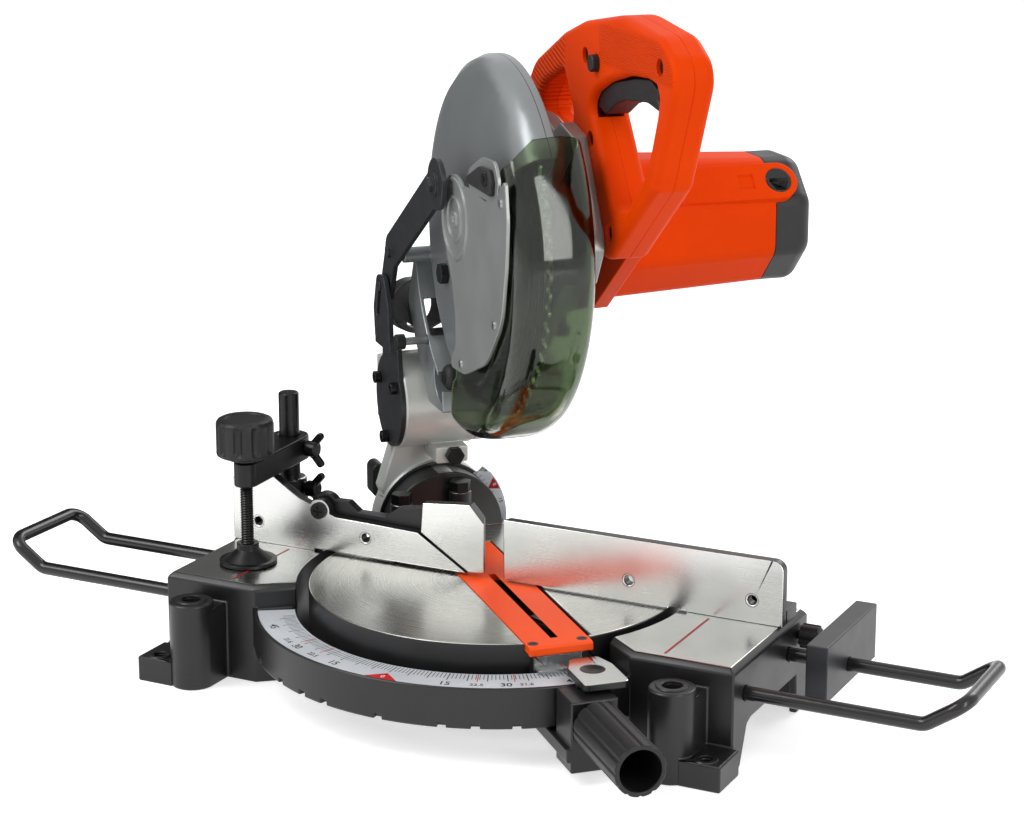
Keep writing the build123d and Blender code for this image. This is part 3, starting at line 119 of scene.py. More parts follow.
def placed(name, data):
    made = bpy.data.objects.new(name, data)
    bpy.context.scene.collection.objects.link(made)
    return made


def mesh_of(shape, name):
    mesh = bpy.data.meshes.new(name)
    shape.to_mesh(mesh)
    shape.free()
    return mesh


def evaluated_mesh(source, name):
    mesh = bpy.data.meshes.new_from_object(source.evaluated_get(bpy.context.evaluated_depsgraph_get()))
    mesh.name = name
    return mesh


record = frame["record"]
body_of = {name: body for body, names in record["behaviour"]["bodies"].items() for name in names}
slot_of = {row["node"]: row["material_slot"] for row in record["subparts"]}


def add_piece(name, mesh, body, slot, *coats):
    piece = placed(name, mesh)
    mesh.materials.clear()
    for coat in coats:
        mesh.materials.append(coat)
    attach(piece, body)
    return piece


def smooth(mesh, angle):
    for face in mesh.polygons:
        face.use_smooth = True
    mesh.set_sharp_from_angle(angle=math.radians(angle))


MERGE_M, FLAT_RAD = 2e-6, 0.003


# A node's triangles, joined and freed of the edges that lie in a flat face.
def merged(name):
    shape = bmesh.new()
    shape.from_mesh(frame["nodes"][name].data)
    bmesh.ops.remove_doubles(shape, verts=shape.verts, dist=MERGE_M)
    bmesh.ops.dissolve_limit(shape, angle_limit=FLAT_RAD, verts=shape.verts, edges=shape.edges)
    return shape


SMOOTH_RAD, LEAST_RIM_M = 0.35, 1e-9


# The mean width in millimetres of the smooth stretch that each face is part of: twice its area over its rim.
def face_widths(shape):
    width = {}
    for seed in shape.faces:
        if seed in width:
            continue
        region, queue, area, rim_length = [], [seed], 0.0, LEAST_RIM_M
        width[seed] = 0.0
        while queue:
            face = queue.pop()
            region.append(face)
            area += face.calc_area()
            for edge in face.edges:
                if len(edge.link_faces) != 2 or edge.calc_face_angle() > SMOOTH_RAD:
                    rim_length += edge.calc_length()
                    continue
                for beside in edge.link_faces:
                    if beside not in width:
                        width[beside] = 0.0
                        queue.append(beside)
        for face in region:
            width[face] = 2 * 1000 * area / rim_length
    return width


CORNER_RAD, EDGE_ROOM, LEAST_ROOM = 0.6, 2.3, 0.15


# Each corner is rounded as far as the narrower of its two faces has room for.
def weigh_corners(shape, edge_mm):
    weight = shape.edges.layers.float.new("bevel_weight_edge")
    width = face_widths(shape)
    for edge in shape.edges:
        if len(edge.link_faces) == 2 and edge.calc_face_angle() > CORNER_RAD:
            room = min(width[face] for face in edge.link_faces) / (EDGE_ROOM * edge_mm)
            edge[weight] = min(1.0, room) if room > LEAST_ROOM else 0.0


def finished(shape, name, edge_mm, segments=2):
    if edge_mm:
        weigh_corners(shape, edge_mm)
    mesh = mesh_of(shape, name)
    rough_piece = placed(name + "_rough", mesh)
    if edge_mm:
        bevel = rough_piece.modifiers.new("edges", "BEVEL")
        bevel.width = edge_mm / 1000
        bevel.segments = segments
        bevel.limit_method = "WEIGHT"
        bevel.use_clamp_overlap = False
    smooth(mesh, 50)
    even = rough_piece.modifiers.new("even", "WEIGHTED_NORMAL")
    even.keep_sharp = True
    made = evaluated_mesh(rough_piece, name)
    bpy.data.objects.remove(rough_piece)
    return made


# A node's own shape with rounded edges; pick says which coat a face gets from its middle and its normal.
def eased(name, edge_mm, *coats, pick=None):
    shape = merged(name)
    if pick:
        for face in shape.faces:
            face.material_index = pick(face.calc_center_median() * 1000, face.normal)
    mesh = finished(shape, name + "_eased", edge_mm)
    picked = [face.material_index for face in mesh.polygons]
    piece = add_piece(name + "_eased", mesh, body_of[name], slot_of[name], *coats)
    if pick:
        for face, index in zip(mesh.polygons, picked):
            face.material_index = index
    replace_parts(piece, name)
    return piece


TABLE_Z = 76.0
LEVEL, DEPTH_LEFT = 0.99, 0.1
# Enamel sprayed on the cast skin: near black, with a soft and slightly uneven sheen.
black_enamel = surface(
    "black_enamel_on_casting", ("#161617", "#232324"), blotch_mm=30, rough=(0.32, 0.46), grain_mm=0.9,
    bump_mm=0.014, Specular_IOR_Level=0.45,
)
# Milled aluminium: straight cutter lines across the wing that drag the highlight out along them.
milled_top = surface(
    "milled_aluminium_wing_top", ("#c9cac6", "#e6e6e2"), blotch_mm=60, rough=(0.2, 0.32),
    grain_mm=(40, 0.5, 40), bump_mm=0.0015, Metallic=1.0,
)


def milled_or_enamel(spot, normal):
    return 1 if normal.z > LEVEL and spot.z > TABLE_Z - DEPTH_LEFT else 0


eased("base_casting", 1.4, black_enamel, milled_top, pick=milled_or_enamel)

FULL_TURN = 360.0


def lathe(shape, profile, place, start=0.0, arc=FULL_TURN, steps=40):
    rings = []
    for i in range(steps if arc == FULL_TURN else steps + 1):
        turn = math.radians(start + arc * i / steps)
        ring = []
        for radius, height in profile:
            spot = Vector((radius * math.cos(turn), radius * math.sin(turn), height))
            ring.append(shape.verts.new(place @ spot / 1000))
        rings.append(ring)
    pairs = list(zip(rings, rings[1:])) + ([(rings[-1], rings[0])] if arc == FULL_TURN else [])
    for first, second in pairs:
        for i in range(len(profile)):
            j = (i + 1) % len(profile)
            shape.faces.new((first[i], second[i], second[j], first[j]))
    if arc != FULL_TURN:
        shape.faces.new(rings[0])
        shape.faces.new(rings[-1][::-1])


def lathed(name, profile, place):
    shape = bmesh.new()
    lathe(shape, profile, place)
    bmesh.ops.remove_doubles(shape, verts=shape.verts, dist=1e-6)
    bmesh.ops.recalc_face_normals(shape, faces=shape.faces)
    mesh = mesh_of(shape, name)
    smooth(mesh, 35)
    return mesh


# Copies of one shape, each moved by the same shift and turned by the same step about the centre.
def row_tree():
    tree = bpy.data.node_groups.new("turned_row", "GeometryNodeTree")
    face = tree.interface
    face.new_socket("Geometry", in_out="INPUT", socket_type="NodeSocketGeometry")
    for label, kind in (
        ("Count", "NodeSocketInt"), ("Centre", "NodeSocketVector"), ("Axis", "NodeSocketVector"),
        ("Start", "NodeSocketFloat"), ("Step", "NodeSocketFloat"), ("Shift", "NodeSocketVector"),
        ("Coat", "NodeSocketMaterial"),
    ):
        face.new_socket(label, in_out="INPUT", socket_type=kind)
    face.new_socket("Geometry", in_out="OUTPUT", socket_type="NodeSocketGeometry")
    given = node(tree, "NodeGroupInput").outputs
    place = node(tree, "GeometryNodeInputIndex").outputs[0]
    angle = node(
        tree, "ShaderNodeMath", {0: place, 1: given["Step"], 2: given["Start"]}, operation="MULTIPLY_ADD"
    )
    shift = node(tree, "ShaderNodeVectorMath", {0: given["Shift"], "Scale": place}, operation="SCALE")
    spot = node(tree, "ShaderNodeVectorMath", {0: given["Centre"], 1: shift.outputs[0]}, operation="ADD")
    points = node(tree, "GeometryNodePoints", {"Count": given["Count"], "Position": spot.outputs[0]})
    turn = node(tree, "FunctionNodeAxisAngleToRotation", {"Axis": given["Axis"], "Angle": angle.outputs[0]})
    copies = node(
        tree, "GeometryNodeInstanceOnPoints",
        {"Points": points.outputs[0], "Instance": given["Geometry"], "Rotation": turn.outputs[0]},
    )
    solid = node(tree, "GeometryNodeRealizeInstances", {0: copies.outputs[0]})
    coated = node(tree, "GeometryNodeSetMaterial", {"Geometry": solid.outputs[0], "Material": given["Coat"]})
    node(tree, "NodeGroupOutput", {0: coated.outputs[0]})
    return tree


turned_row = row_tree()


def repeated(name, item, coat, count, centre=(0, 0, 0), start=0.0, step=0.0, shift=(0, 0, 0)):
    source = placed(name + "_source", item)
    rule = source.modifiers.new("row", "NODES")
    rule.node_group = turned_row
    values = {
        "Count": count, "Centre": [c / 1000 for c in centre], "Axis": [0, 0, 1], "Start": math.radians(start),
        "Step": math.radians(step), "Shift": [c / 1000 for c in shift], "Coat": coat,
    }
    for socket in turned_row.interface.items_tree:
        if socket.in_out == "INPUT" and socket.name in values:
            rule[socket.identifier] = values[socket.name]
    mesh = evaluated_mesh(source, name)
    source.modifiers.remove(rule)
    bpy.data.objects.remove(source)
    return mesh


RIM_HEIGHT, RIM_SUNK = 1.0, -1.0


# A low machined lip round a hole, rounded on top and sunk into the casting below.
def rim(inner, outer):
    return [
        (inner, RIM_SUNK), (inner, RIM_HEIGHT * 0.6), (inner + 0.5, RIM_HEIGHT), (outer - 0.7, RIM_HEIGHT),
        (outer, RIM_HEIGHT * 0.3), (outer + 0.2, RIM_SUNK),
    ]


# Name, place of the right one of the pair, and the lip's inner and outer radius.
for word, x, y, z, inner, outer in (
    ("column_rims", 194, -118, 65.7, 7.2, 11.6), ("front_foot_rims", 221, -122, 19, 4.7, 8.6),
    ("rear_foot_rims", 204, 97, 19, 4.7, 8.6),
):
    ring = lathed(word, rim(inner, outer), Matrix())
    pair = repeated(word, ring, black_enamel, 2, centre=(-x, y, z), shift=(2 * x, 0, 0))
    add_piece(word, pair, "base", "black_casting", black_enamel)

# Red lines: paint run into a shallow groove across each wing top, to mark where hands stay clear.
# They are flat paint, a hair above the milled face.
LINE_X, LINE_FRONT, LINE_BACK, LINE_HALF = 175.5, -88.0, -9.0, 1.0
PAINT_THICK = 0.06
# Brushed-in paint: a flat dull red without any metal shine.
red_paint = surface(
    "red_line_paint", ("#8d0f12", "#a81d1c"), blotch_mm=12, rough=(0.45, 0.6), grain_mm=0.5, bump_mm=0.01
)


def rectangle(x0, x1, y0, y1):
    return ((x0, y0), (x1, y0), (x1, y1), (x0, y1))


def flat_patch(name, corners, z, body, slot, coat):
    shape = bmesh.new()
    low = [shape.verts.new((x / 1000, y / 1000, z / 1000)) for x, y in corners]
    top = [shape.verts.new((x / 1000, y / 1000, (z + PAINT_THICK) / 1000)) for x, y in corners]
    shape.faces.new(top)
    shape.faces.new(low[::-1])
    for i in range(len(low)):
        j = (i + 1) % len(low)
        shape.faces.new((low[i], low[j], top[j], top[i]))
    bmesh.ops.recalc_face_normals(shape, faces=shape.faces)
    return add_piece(name, mesh_of(shape, name), body, slot, coat)


for side, word in ((-1, "left"), (1, "right")):
    line = rectangle(side * LINE_X - LINE_HALF, side * LINE_X + LINE_HALF, LINE_FRONT, LINE_BACK)
    flat_patch("hand_line_" + word, line, TABLE_Z, "base", "black_casting", red_paint)

# Miter scale: a satin aluminium strip on the ring, printed with degree marks, numbers and a red zero arrow.
# The print is thin ink, so each mark stands only a few hundredths above the strip.
SCALE_TOP = 57.8
SCALE_IN, SCALE_OUT = 150.5, 178.0
MARK_GAP, INK_THICK = 1.0, 0.05
# Lacquered aluminium sheet: pale, with a satin shine that stays even.
scale_sheet = surface(
    "satin_printed_sheet", ("#d6dae0", "#edf0f4"), blotch_mm=40, rough=(0.32, 0.42), grain_mm=3,
    bump_mm=0.004, Metallic=0.15,
)
# Screen inks: flat, even colour, a little duller than the sheet.
black_ink = surface(
    "black_print_ink", ("#131313", "#1f1f20"), blotch_mm=8, rough=(0.5, 0.6), grain_mm=0.4, bump_mm=0.004
)
red_ink = surface(
    "red_print_ink", ("#c8161a", "#dc2a22"), blotch_mm=8, rough=(0.4, 0.5), grain_mm=0.4, bump_mm=0.004
)
white_ink = surface(
    "white_print_ink", ("#e6e6e6", "#f4f4f4"), blotch_mm=8, rough=(0.4, 0.5), grain_mm=0.4, bump_mm=0.004
)
eased("scale_plate", 0.0, scale_sheet)


def brick(low, high):
    shape = bmesh.new()
    bmesh.ops.create_cube(shape, size=1.0)
    for vert in shape.verts:
        for i in range(3):
            vert.co[i] = (low[i] if vert.co[i] < 0 else high[i]) / 1000
    return mesh_of(shape, "brick")


def ticks(name, coat, reach, half_width, count, start, step):
    near = -SCALE_IN - MARK_GAP
    item = brick((-half_width, near - reach, 0), (half_width, near, INK_THICK))
    mesh = repeated(name, item, coat, count, centre=(0, 0, SCALE_TOP), start=start, step=step)
    return add_piece(name, mesh, "base", "scale_sheet", coat)


ticks("scale_degree_marks", black_ink, 9.0, 0.24, 105, -52, 1)
ticks("scale_five_marks", black_ink, 12.0, 0.34, 21, -50, 5)
for i, angle in enumerate((-31.6, -22.5, 22.5, 31.6)):
    ticks(f"scale_red_mark_{i}", red_ink, 13.0, 0.34, 1, angle, 0)

LETTER_HALF_THICK, LETTER_SWELL = 0.03, 0.01


def lettering(name, words, coat, body, slot):
    shape = bmesh.new()
    for word, size, place in words:
        text = bpy.data.curves.new(name, "FONT")
        text.body = word
        text.size = size / 1000
        text.align_x = "CENTER"
        text.align_y = "CENTER"
        text.extrude = LETTER_HALF_THICK / 1000
        text.offset = LETTER_SWELL * size / 1000
        text.resolution_u = 3
        holder = placed(name, text)
        mesh = evaluated_mesh(holder, name)
        mesh.transform(place)
        shape.from_mesh(mesh)
        bpy.data.objects.remove(holder)
    return add_piece(name, mesh_of(shape, name), body, slot, coat)


def on_ring(angle, radius, lift):
    turn = math.radians(angle)
    spot = Vector((radius * math.sin(turn), -radius * math.cos(turn), SCALE_TOP + lift)) / 1000
    return Matrix.Translation(spot) @ Matrix.Rotation(turn, 4, "Z")


NUMBER_R, ZERO_R = 170.5, 172.5
BIG_NUMBER, SMALL_NUMBER, ZERO_SIZE = 8.6, 5.8, 6.0
NUMBER_LIFT, ZERO_LIFT = 0.06, 0.1
# Two numbers stand so close that each is moved off its mark by some degrees.
MOVED_OFF = {30: -0.6, 31.6: 2.6}
numbers = []
for angle in (15, 22.5, 30, 31.6, 45):
    size = BIG_NUMBER if angle % 15 == 0 else SMALL_NUMBER
    for side in (-1, 1):
        place = on_ring(side * (angle + MOVED_OFF.get(angle, 0)), NUMBER_R, NUMBER_LIFT)
        numbers.append((f"{angle:g}", size, place))
lettering("scale_numbers", numbers, black_ink, "base", "scale_sheet")
ARROW_HALF, ARROW_EDGE, ARROW_POINT = 13.0, 1.6, 15.0
arrow = (
    (-ARROW_HALF, ARROW_EDGE - SCALE_OUT), (0, ARROW_EDGE - 1 - SCALE_OUT),
    (ARROW_HALF, ARROW_EDGE - SCALE_OUT), (0, -SCALE_IN - ARROW_POINT),
)
flat_patch("scale_zero_arrow", arrow, SCALE_TOP, "base", "scale_sheet", red_ink)
lettering("scale_zero", [("0", ZERO_SIZE, on_ring(0, ZERO_R, ZERO_LIFT))], white_ink, "base", "scale_sheet")

# Bolts of the base: the turn bolt under the table and the four hex bolts that hold the fence.
# They are bought steel parts, turned and rolled, and zinc plated.
# Zinc plating: a soft grey metal shine with small cloudy spots.
zinc = surface(
    "zinc_plated_steel", ("#8f9294", "#b4b6b6"), blotch_mm=6, rough=(0.28, 0.42), grain_mm=0.6, bump_mm=0.006,
    Metallic=1.0,
)
eased("base_bolts", 0.4, zinc)

# Work holders: 10 mm steel rod bent to a loop, coated black and polished by handling.
# They slide in bores of the wings.
# Coated drawn rod: glossy black, with long lines along the rod.
black_rod = surface(
    "black_coated_rod", ("#08080a", "#141416"), blotch_mm=25, rough=(0.2, 0.32),
    grain_mm=(20, 0.6, 0.6), bump_mm=0.006,
)
eased("holder_right", 0.0, black_rod)
eased("holder_left", 0.0, black_rod)

# Stop plate: 3 mm sheet folded to a channel and painted black, with a plastic knob hidden in the channel.
# The fold gives it round outer edges; two like knobs clamp rods in the wings.
# Painted sheet: an even dark grey-black with a dull sheen.
black_sheet = surface(
    "black_painted_sheet", ("#1c1d20", "#2a2c2f"), blotch_mm=18, rough=(0.36, 0.5), grain_mm=0.8,
    bump_mm=0.014, Specular_IOR_Level=0.45,
)
# Nylon moulded in a spark-worn die: black and matt, with a fine even grain.
black_moulding = surface(
    "black_moulded_nylon", ("#121214", "#1e1e21"), blotch_mm=14, rough=(0.42, 0.58), grain_mm=0.7,
    bump_mm=0.03, Specular_IOR_Level=0.4,
)
eased("set_plate", 0.9, black_sheet)
for knob in ("set_plate_screw", "rod_clamp_right", "rod_clamp_left"):
    eased(knob, 0.5, black_moulding)

# Fences: two castings bolted across the wings, milled on the face that the work lies against.
# Their edges and backs keep the black enamel; a flip fence turns on a screw at the left one.
FENCE_FACE_Y, FACE_DEPTH = -4.0, 0.2
FENCE_HOLE_Z, FENCE_HOLE_STEP = 93.0, 96.0
# Milled aluminium: bright, with fine level cutter lines along the fence.
milled_face = surface(
    "milled_aluminium_fence_face", ("#d2d3d1", "#efefec"), blotch_mm=70, rough=(0.24, 0.36),
    grain_mm=(60, 60, 0.45), bump_mm=0.001, Metallic=1.0,
)


def fence_finish(spot, normal):
    return 1 if normal.y < -LEVEL and abs(spot.y - FENCE_FACE_Y) < FACE_DEPTH else 0


for name in ("fence_right", "fence_left", "sub_fence"):
    eased(name, 0.8, black_enamel, milled_face, pick=fence_finish)
# Oxide-blackened steel: dark, with a thin oily metal shine.
black_oxide = surface(
    "black_oxide_steel", ("#0d0d0e", "#1c1c1e"), blotch_mm=8, rough=(0.3, 0.45), grain_mm=0.6, bump_mm=0.012,
    Metallic=0.4,
)
eased("sub_fence_screw", 0.3, black_oxide)
SINK = [(3.3, -7.9), (3.3, -1.2), (4.9, 0.04), (5.2, 0.04), (5.2, -1.2), (3.6, -1.6), (3.6, -7.9)]
sink = lathed("countersink", SINK, Matrix.Rotation(math.pi / 2, 4, "X"))
for word, x in (("left_fence_countersinks", -206), ("right_fence_countersinks", 110)):
    first = (x, FENCE_FACE_Y, FENCE_HOLE_Z)
    row = repeated(word, sink, black_enamel, 2, centre=first, shift=(FENCE_HOLE_STEP, 0, 0))
    add_piece(word, row, "base", "black_casting", black_enamel)

# Vise: a black steel rod and arm, cast foot, wing screws, and a rolled screw with a moulded fluted knob.
# The screw is a real 10 mm thread that shows between the arm and the foot.
for name, edge in (
    ("vise_rod", 0.3), ("vise_arm", 1.2), ("vise_arm_screw", 0.6), ("vise_rod_screw", 0.6),
    ("vise_foot", 0.5),
):
    eased(name, edge, black_oxide)
SCREW_X, SCREW_Y = -187.0, -49.5
SCREW_LOW, SCREW_TOP = 84.4, 159.5
THREAD_R, THREAD_ROOT, THREAD_PITCH, THREAD_STEPS = 5.0, 4.2, 2.0, 24


def round_screw(radius, turn, z):
    return Vector((SCREW_X + radius * math.cos(turn), SCREW_Y + radius * math.sin(turn), z)) / 1000


# Rings of root and crest by turns climb half a pitch each, so a ring ends where the one two above it starts.
def thread_mesh(name):
    shape = bmesh.new()
    rows = int((SCREW_TOP - SCREW_LOW) / THREAD_PITCH * 2)
    rings = []
    for row in range(rows + 1):
        radius = THREAD_R if row % 2 else THREAD_ROOT
        ring = []
        for i in range(THREAD_STEPS):
            rise = (row / 2 + i / THREAD_STEPS - 0.5) * THREAD_PITCH
            z = min(max(SCREW_LOW + rise, SCREW_LOW), SCREW_TOP)
            ring.append(shape.verts.new(round_screw(radius, 2 * math.pi * i / THREAD_STEPS, z)))
        rings.append(ring)
    for row in range(rows):
        for i in range(THREAD_STEPS - 1):
            shape.faces.new((rings[row][i], rings[row][i + 1], rings[row + 1][i + 1], rings[row + 1][i]))
        if row + 2 <= rows - 1:
            shape.faces.new((rings[row][-1], rings[row + 2][0], rings[row + 3][0], rings[row + 1][-1]))
    bmesh.ops.recalc_face_normals(shape, faces=shape.faces)
    mesh = mesh_of(shape, name)
    smooth(mesh, 20)
    return mesh


# Radius, height, and how much of the flutes' depth shows there.
KNOB_PROFILE = (
    (13.2, 158.2, 0), (13.2, 161.2, 0), (20.0, 161.2, 0), (21.6, 162.2, 0), (22.0, 164.0, 0),
    (22.0, 166.0, 0.8), (22.0, 168.0, 1), (22.0, 183.0, 1), (22.0, 185.5, 0.8), (21.7, 187.2, 0.2),
    (20.6, 189.0, 0), (18.6, 190.0, 0), (14.6, 190.0, 0), (14.0, 189.2, 0), (1.0, 189.0, 0),
)
KNOB_FLUTES, FLUTE_DEPTH, FLUTE_ROUND, KNOB_COLUMNS = 10, 2.6, 0.6, 160


def knob_mesh(name):
    shape = bmesh.new()
    rings = []
    for radius, z, share in KNOB_PROFILE:
        ring = []
        for i in range(KNOB_COLUMNS):
            turn = 2 * math.pi * i / KNOB_COLUMNS
            reach = radius - FLUTE_DEPTH * share * max(math.cos(KNOB_FLUTES * turn), 0.0) ** FLUTE_ROUND
            ring.append(shape.verts.new(round_screw(reach, turn, z)))
        rings.append(ring)
    for low, high in zip(rings, rings[1:]):
        for i in range(KNOB_COLUMNS):
            j = (i + 1) % KNOB_COLUMNS
            shape.faces.new((low[i], low[j], high[j], high[i]))
    shape.faces.new(rings[0][::-1])
    shape.faces.new(rings[-1])
    mesh = mesh_of(shape, name)
    smooth(mesh, 40)
    return mesh


knob_piece = add_piece("vise_knob", knob_mesh("vise_knob"), "vise_screw", "black_plastic", black_moulding)
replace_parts(knob_piece, "vise_screw")
add_piece("vise_thread", thread_mesh("vise_thread"), "vise_screw", "black_steel", black_oxide)

# Turn table: a casting enamelled black, its top faced on a lathe, so fine rings run round the turn axis.
# It turns on the bolt in the middle of the base, and its front block carries the grip.
CLOUD_MM, RING_DEPTH = 71.43, 0.004


def turned_metal(name, shades, centre_mm, axis, ring_mm, rough):
    made, tree, shader = start_material(name, Metallic=1.0)
    spot = node(tree, "ShaderNodeTexCoord").outputs["Object"]
    centre = [c / 1000 for c in centre_mm]
    arm = node(tree, "ShaderNodeVectorMath", {0: spot, 1: centre}, operation="SUBTRACT")
    side = node(tree, "ShaderNodeVectorMath", {0: arm.outputs[0], 1: axis}, operation="CROSS_PRODUCT")
    radius = node(tree, "ShaderNodeVectorMath", {0: side.outputs[0]}, operation="LENGTH").outputs["Value"]
    count = node(tree, "ShaderNodeMath", {0: radius, 1: 1000 / ring_mm}, operation="MULTIPLY")
    ring = node(
        tree, "ShaderNodeTexNoise",
        {"W": count.outputs[0], "Scale": 1.0, "Detail": 3.0}, noise_dimensions="1D",
    )
    broad = node(tree, "ShaderNodeTexNoise", {"Vector": spot, "Scale": 1000 / CLOUD_MM, "Detail": 3.0})
    blend = node(
        tree, "ShaderNodeMath", {0: ring.outputs["Fac"], 1: broad.outputs["Fac"]}, operation="MULTIPLY"
    )
    spread = node(
        tree, "ShaderNodeMapRange", {"Value": blend.outputs[0], "From Min": 0.12, "From Max": 0.42}
    )
    colour = node(
        tree, "ShaderNodeMix",
        {0: spread.outputs[0], MIX_A: hex_linear(shades[0]), MIX_B: hex_linear(shades[1])}, data_type="RGBA",
    )
    dull = node(
        tree, "ShaderNodeMapRange", {"Value": spread.outputs[0], "To Min": rough[1], "To Max": rough[0]}
    )
    relief = node(tree, "ShaderNodeBump", {"Height": ring.outputs["Fac"], "Distance": RING_DEPTH / 1000})
    tree.links.new(colour.outputs[MIX_RESULT], shader.inputs["Base Color"])
    tree.links.new(dull.outputs[0], shader.inputs["Roughness"])
    tree.links.new(relief.outputs[0], shader.inputs["Normal"])
    return made


# Faced aluminium: rings that catch the light in bright fans. They are drawn coarser than real ones, to show.
turned_top = turned_metal(
    "faced_aluminium_table", ("#c8c8c3", "#dfded8"), centre_mm=(0, 0, 0), axis=(0, 0, 1), ring_mm=0.9,
    rough=(0.18, 0.3),
)
eased("turn_table", 1.2, black_enamel, turned_top, pick=milled_or_enamel)

# Kerf board: a flat orange plastic board set flush in the table, with the blade slot down its middle.
# Two countersunk screws hold its front end, where it folds down to a lip; stop bolts stand at the back.
# Moulded polypropylene: a strong flat orange with hardly any gloss.
kerf_orange = surface(
    "orange_moulded_polypropylene", ("#fa4e0c", "#ff5c1a"), blotch_mm=30, rough=(0.4, 0.52),
    grain_mm=0.8, bump_mm=0.01, Specular_IOR_Level=0.2,
)
eased("kerf_board", 0.3, kerf_orange)
eased("table_screws", 0.4, black_oxide)
DIAGONAL = math.sqrt(0.5)


# The table, arm and head stand turned by 45 degrees: u points right across them, v back along them, w up.
def swung(u, v, w):
    return Vector(((u - v) * DIAGONAL, (u + v) * DIAGONAL, w)) / 1000


def across(spot):
    return (spot.x + spot.y) * DIAGONAL


def along(spot):
    return (spot.y - spot.x) * DIAGONAL


LIP_HALF, LIP_FRONT, LIP_BACK, LIP_LOW, LIP_TOP, LIP_EDGE = 23.5, -148.6, -145.4, 69.3, 75.85, 1.3
lip = bmesh.new()
bmesh.ops.create_cube(lip, size=1.0)
for vert in lip.verts:
    vert.co = swung(
        math.copysign(LIP_HALF, vert.co.x), LIP_FRONT if vert.co.y < 0 else LIP_BACK,
        LIP_LOW if vert.co.z < 0 else LIP_TOP,
    )
lip_mesh = finished(lip, "kerf_board_lip", LIP_EDGE, segments=3)
add_piece("kerf_board_lip", lip_mesh, "turn_table", "orange_plastic", kerf_orange)

# Miter pointer: a clear acrylic tongue over the scale, screwed under the front of the table.
# One red hair line under it is read against the degree marks.
HAIR_HALF, HAIR_FRONT, HAIR_BACK, HAIR_Z = 0.3, -157.0, -148.0, 62.0
ACRYLIC_HAZE = 4.545
# Clear acrylic: nearly invisible but for its bright edges, with a light haze of wear.
clear_acrylic, tree, shader = start_material(
    "clear_acrylic", Base_Color=hex_linear("#e9eeee"), Transmission_Weight=0.9, IOR=1.49,
)
spot = node(tree, "ShaderNodeTexCoord").outputs["Object"]
haze = node(tree, "ShaderNodeTexNoise", {"Vector": spot, "Scale": 1000 / ACRYLIC_HAZE})
dull = node(tree, "ShaderNodeMapRange", {"Value": haze.outputs["Fac"], "To Min": 0.04, "To Max": 0.14})
tree.links.new(dull.outputs[0], shader.inputs["Roughness"])
eased("miter_pointer", 0.3, clear_acrylic)
hair = [swung(u, v, 0) * 1000 for u, v in rectangle(-HAIR_HALF, HAIR_HALF, HAIR_FRONT, HAIR_BACK)]
hair_line = [(corner.x, corner.y) for corner in hair]
flat_patch("pointer_hair_line", hair_line, HAIR_Z, "turn_table", "black_plastic", red_ink)

# Miter lever and grip: a cast thumb lever with a bright dished top, and a hollow fluted nylon grip on a stud.
# The grip screws into the front block of the table to lock it.
LEVER_TOP, DISH_DEPTH = 67.5, 0.3


def lever_finish(spot, normal):
    return 1 if normal.z > LEVEL and spot.z > LEVER_TOP - DISH_DEPTH else 0


eased("miter_lever", 0.6, black_enamel, milled_top, pick=lever_finish)
eased("miter_grip", 0.8, black_moulding)

# Bevel joint: the plated lock shaft with its moulded lever behind the table, and the bevel scale on the arm.
# The scale is a sector of printed sheet on the arm's front face, with a red zero arrow.
eased("bevel_shaft", 0.4, zinc)
eased("bevel_lever", 1.0, black_moulding)
SHEET_V, SHEET_IN, SHEET_OUT, SHEET_RISE, SHEET_THICK = 149.95, 47.4, 57.4, 38.0, 0.25
PRINT_LIFT, PRINT_THICK, WORD_LIFT, WORD_R = 0.3, 0.04, 0.36, 54.0
MARK_HALF_DEG, MARK_IN, MARK_OUT = 0.2, SHEET_IN + 0.3, 50.6
ZERO_DEG, ZERO_HALF_DEG, FIFTEEN_DEG = 29.2, 5.8, 13.5
RIGHT, BACK, UP = swung(1000, 0, 0), swung(0, 1000, 0), Vector((0, 0, 1))


def on_bevel_scale(angle, radius, lift, lean=0.0):
    turn = math.radians(angle)
    spot = swung(radius * math.cos(turn), SHEET_V - lift, TABLE_Z + radius * math.sin(turn))
    facing = Matrix((RIGHT, UP, -BACK)).transposed().to_4x4()
    return Matrix.Translation(spot) @ facing @ Matrix.Rotation(math.radians(lean), 4, "Z")


# Each strip is a row of angles, each with the inner and outer radius that the sheet has there.
def bevel_sheet(name, strips, lift, thick_mm, coat):
    shape = bmesh.new()
    for strip in strips:
        pairs = []
        for angle, reach in strip:
            pairs.append([shape.verts.new(on_bevel_scale(angle, r, lift).translation) for r in reach])
        for first, second in zip(pairs, pairs[1:]):
            shape.faces.new((first[0], first[1], second[1], second[0]))
    bmesh.ops.solidify(shape, geom=list(shape.faces), thickness=thick_mm / 1000)
    bmesh.ops.recalc_face_normals(shape, faces=shape.faces)
    return add_piece(name, mesh_of(shape, name), "bevel_arm", "scale_sheet", coat)


def bevel_word(name, word, size, angle, coat):
    place = on_bevel_scale(angle, WORD_R, WORD_LIFT, lean=angle - 90)
    return lettering(name, [(word, size, place)], coat, "bevel_arm", "scale_sheet")


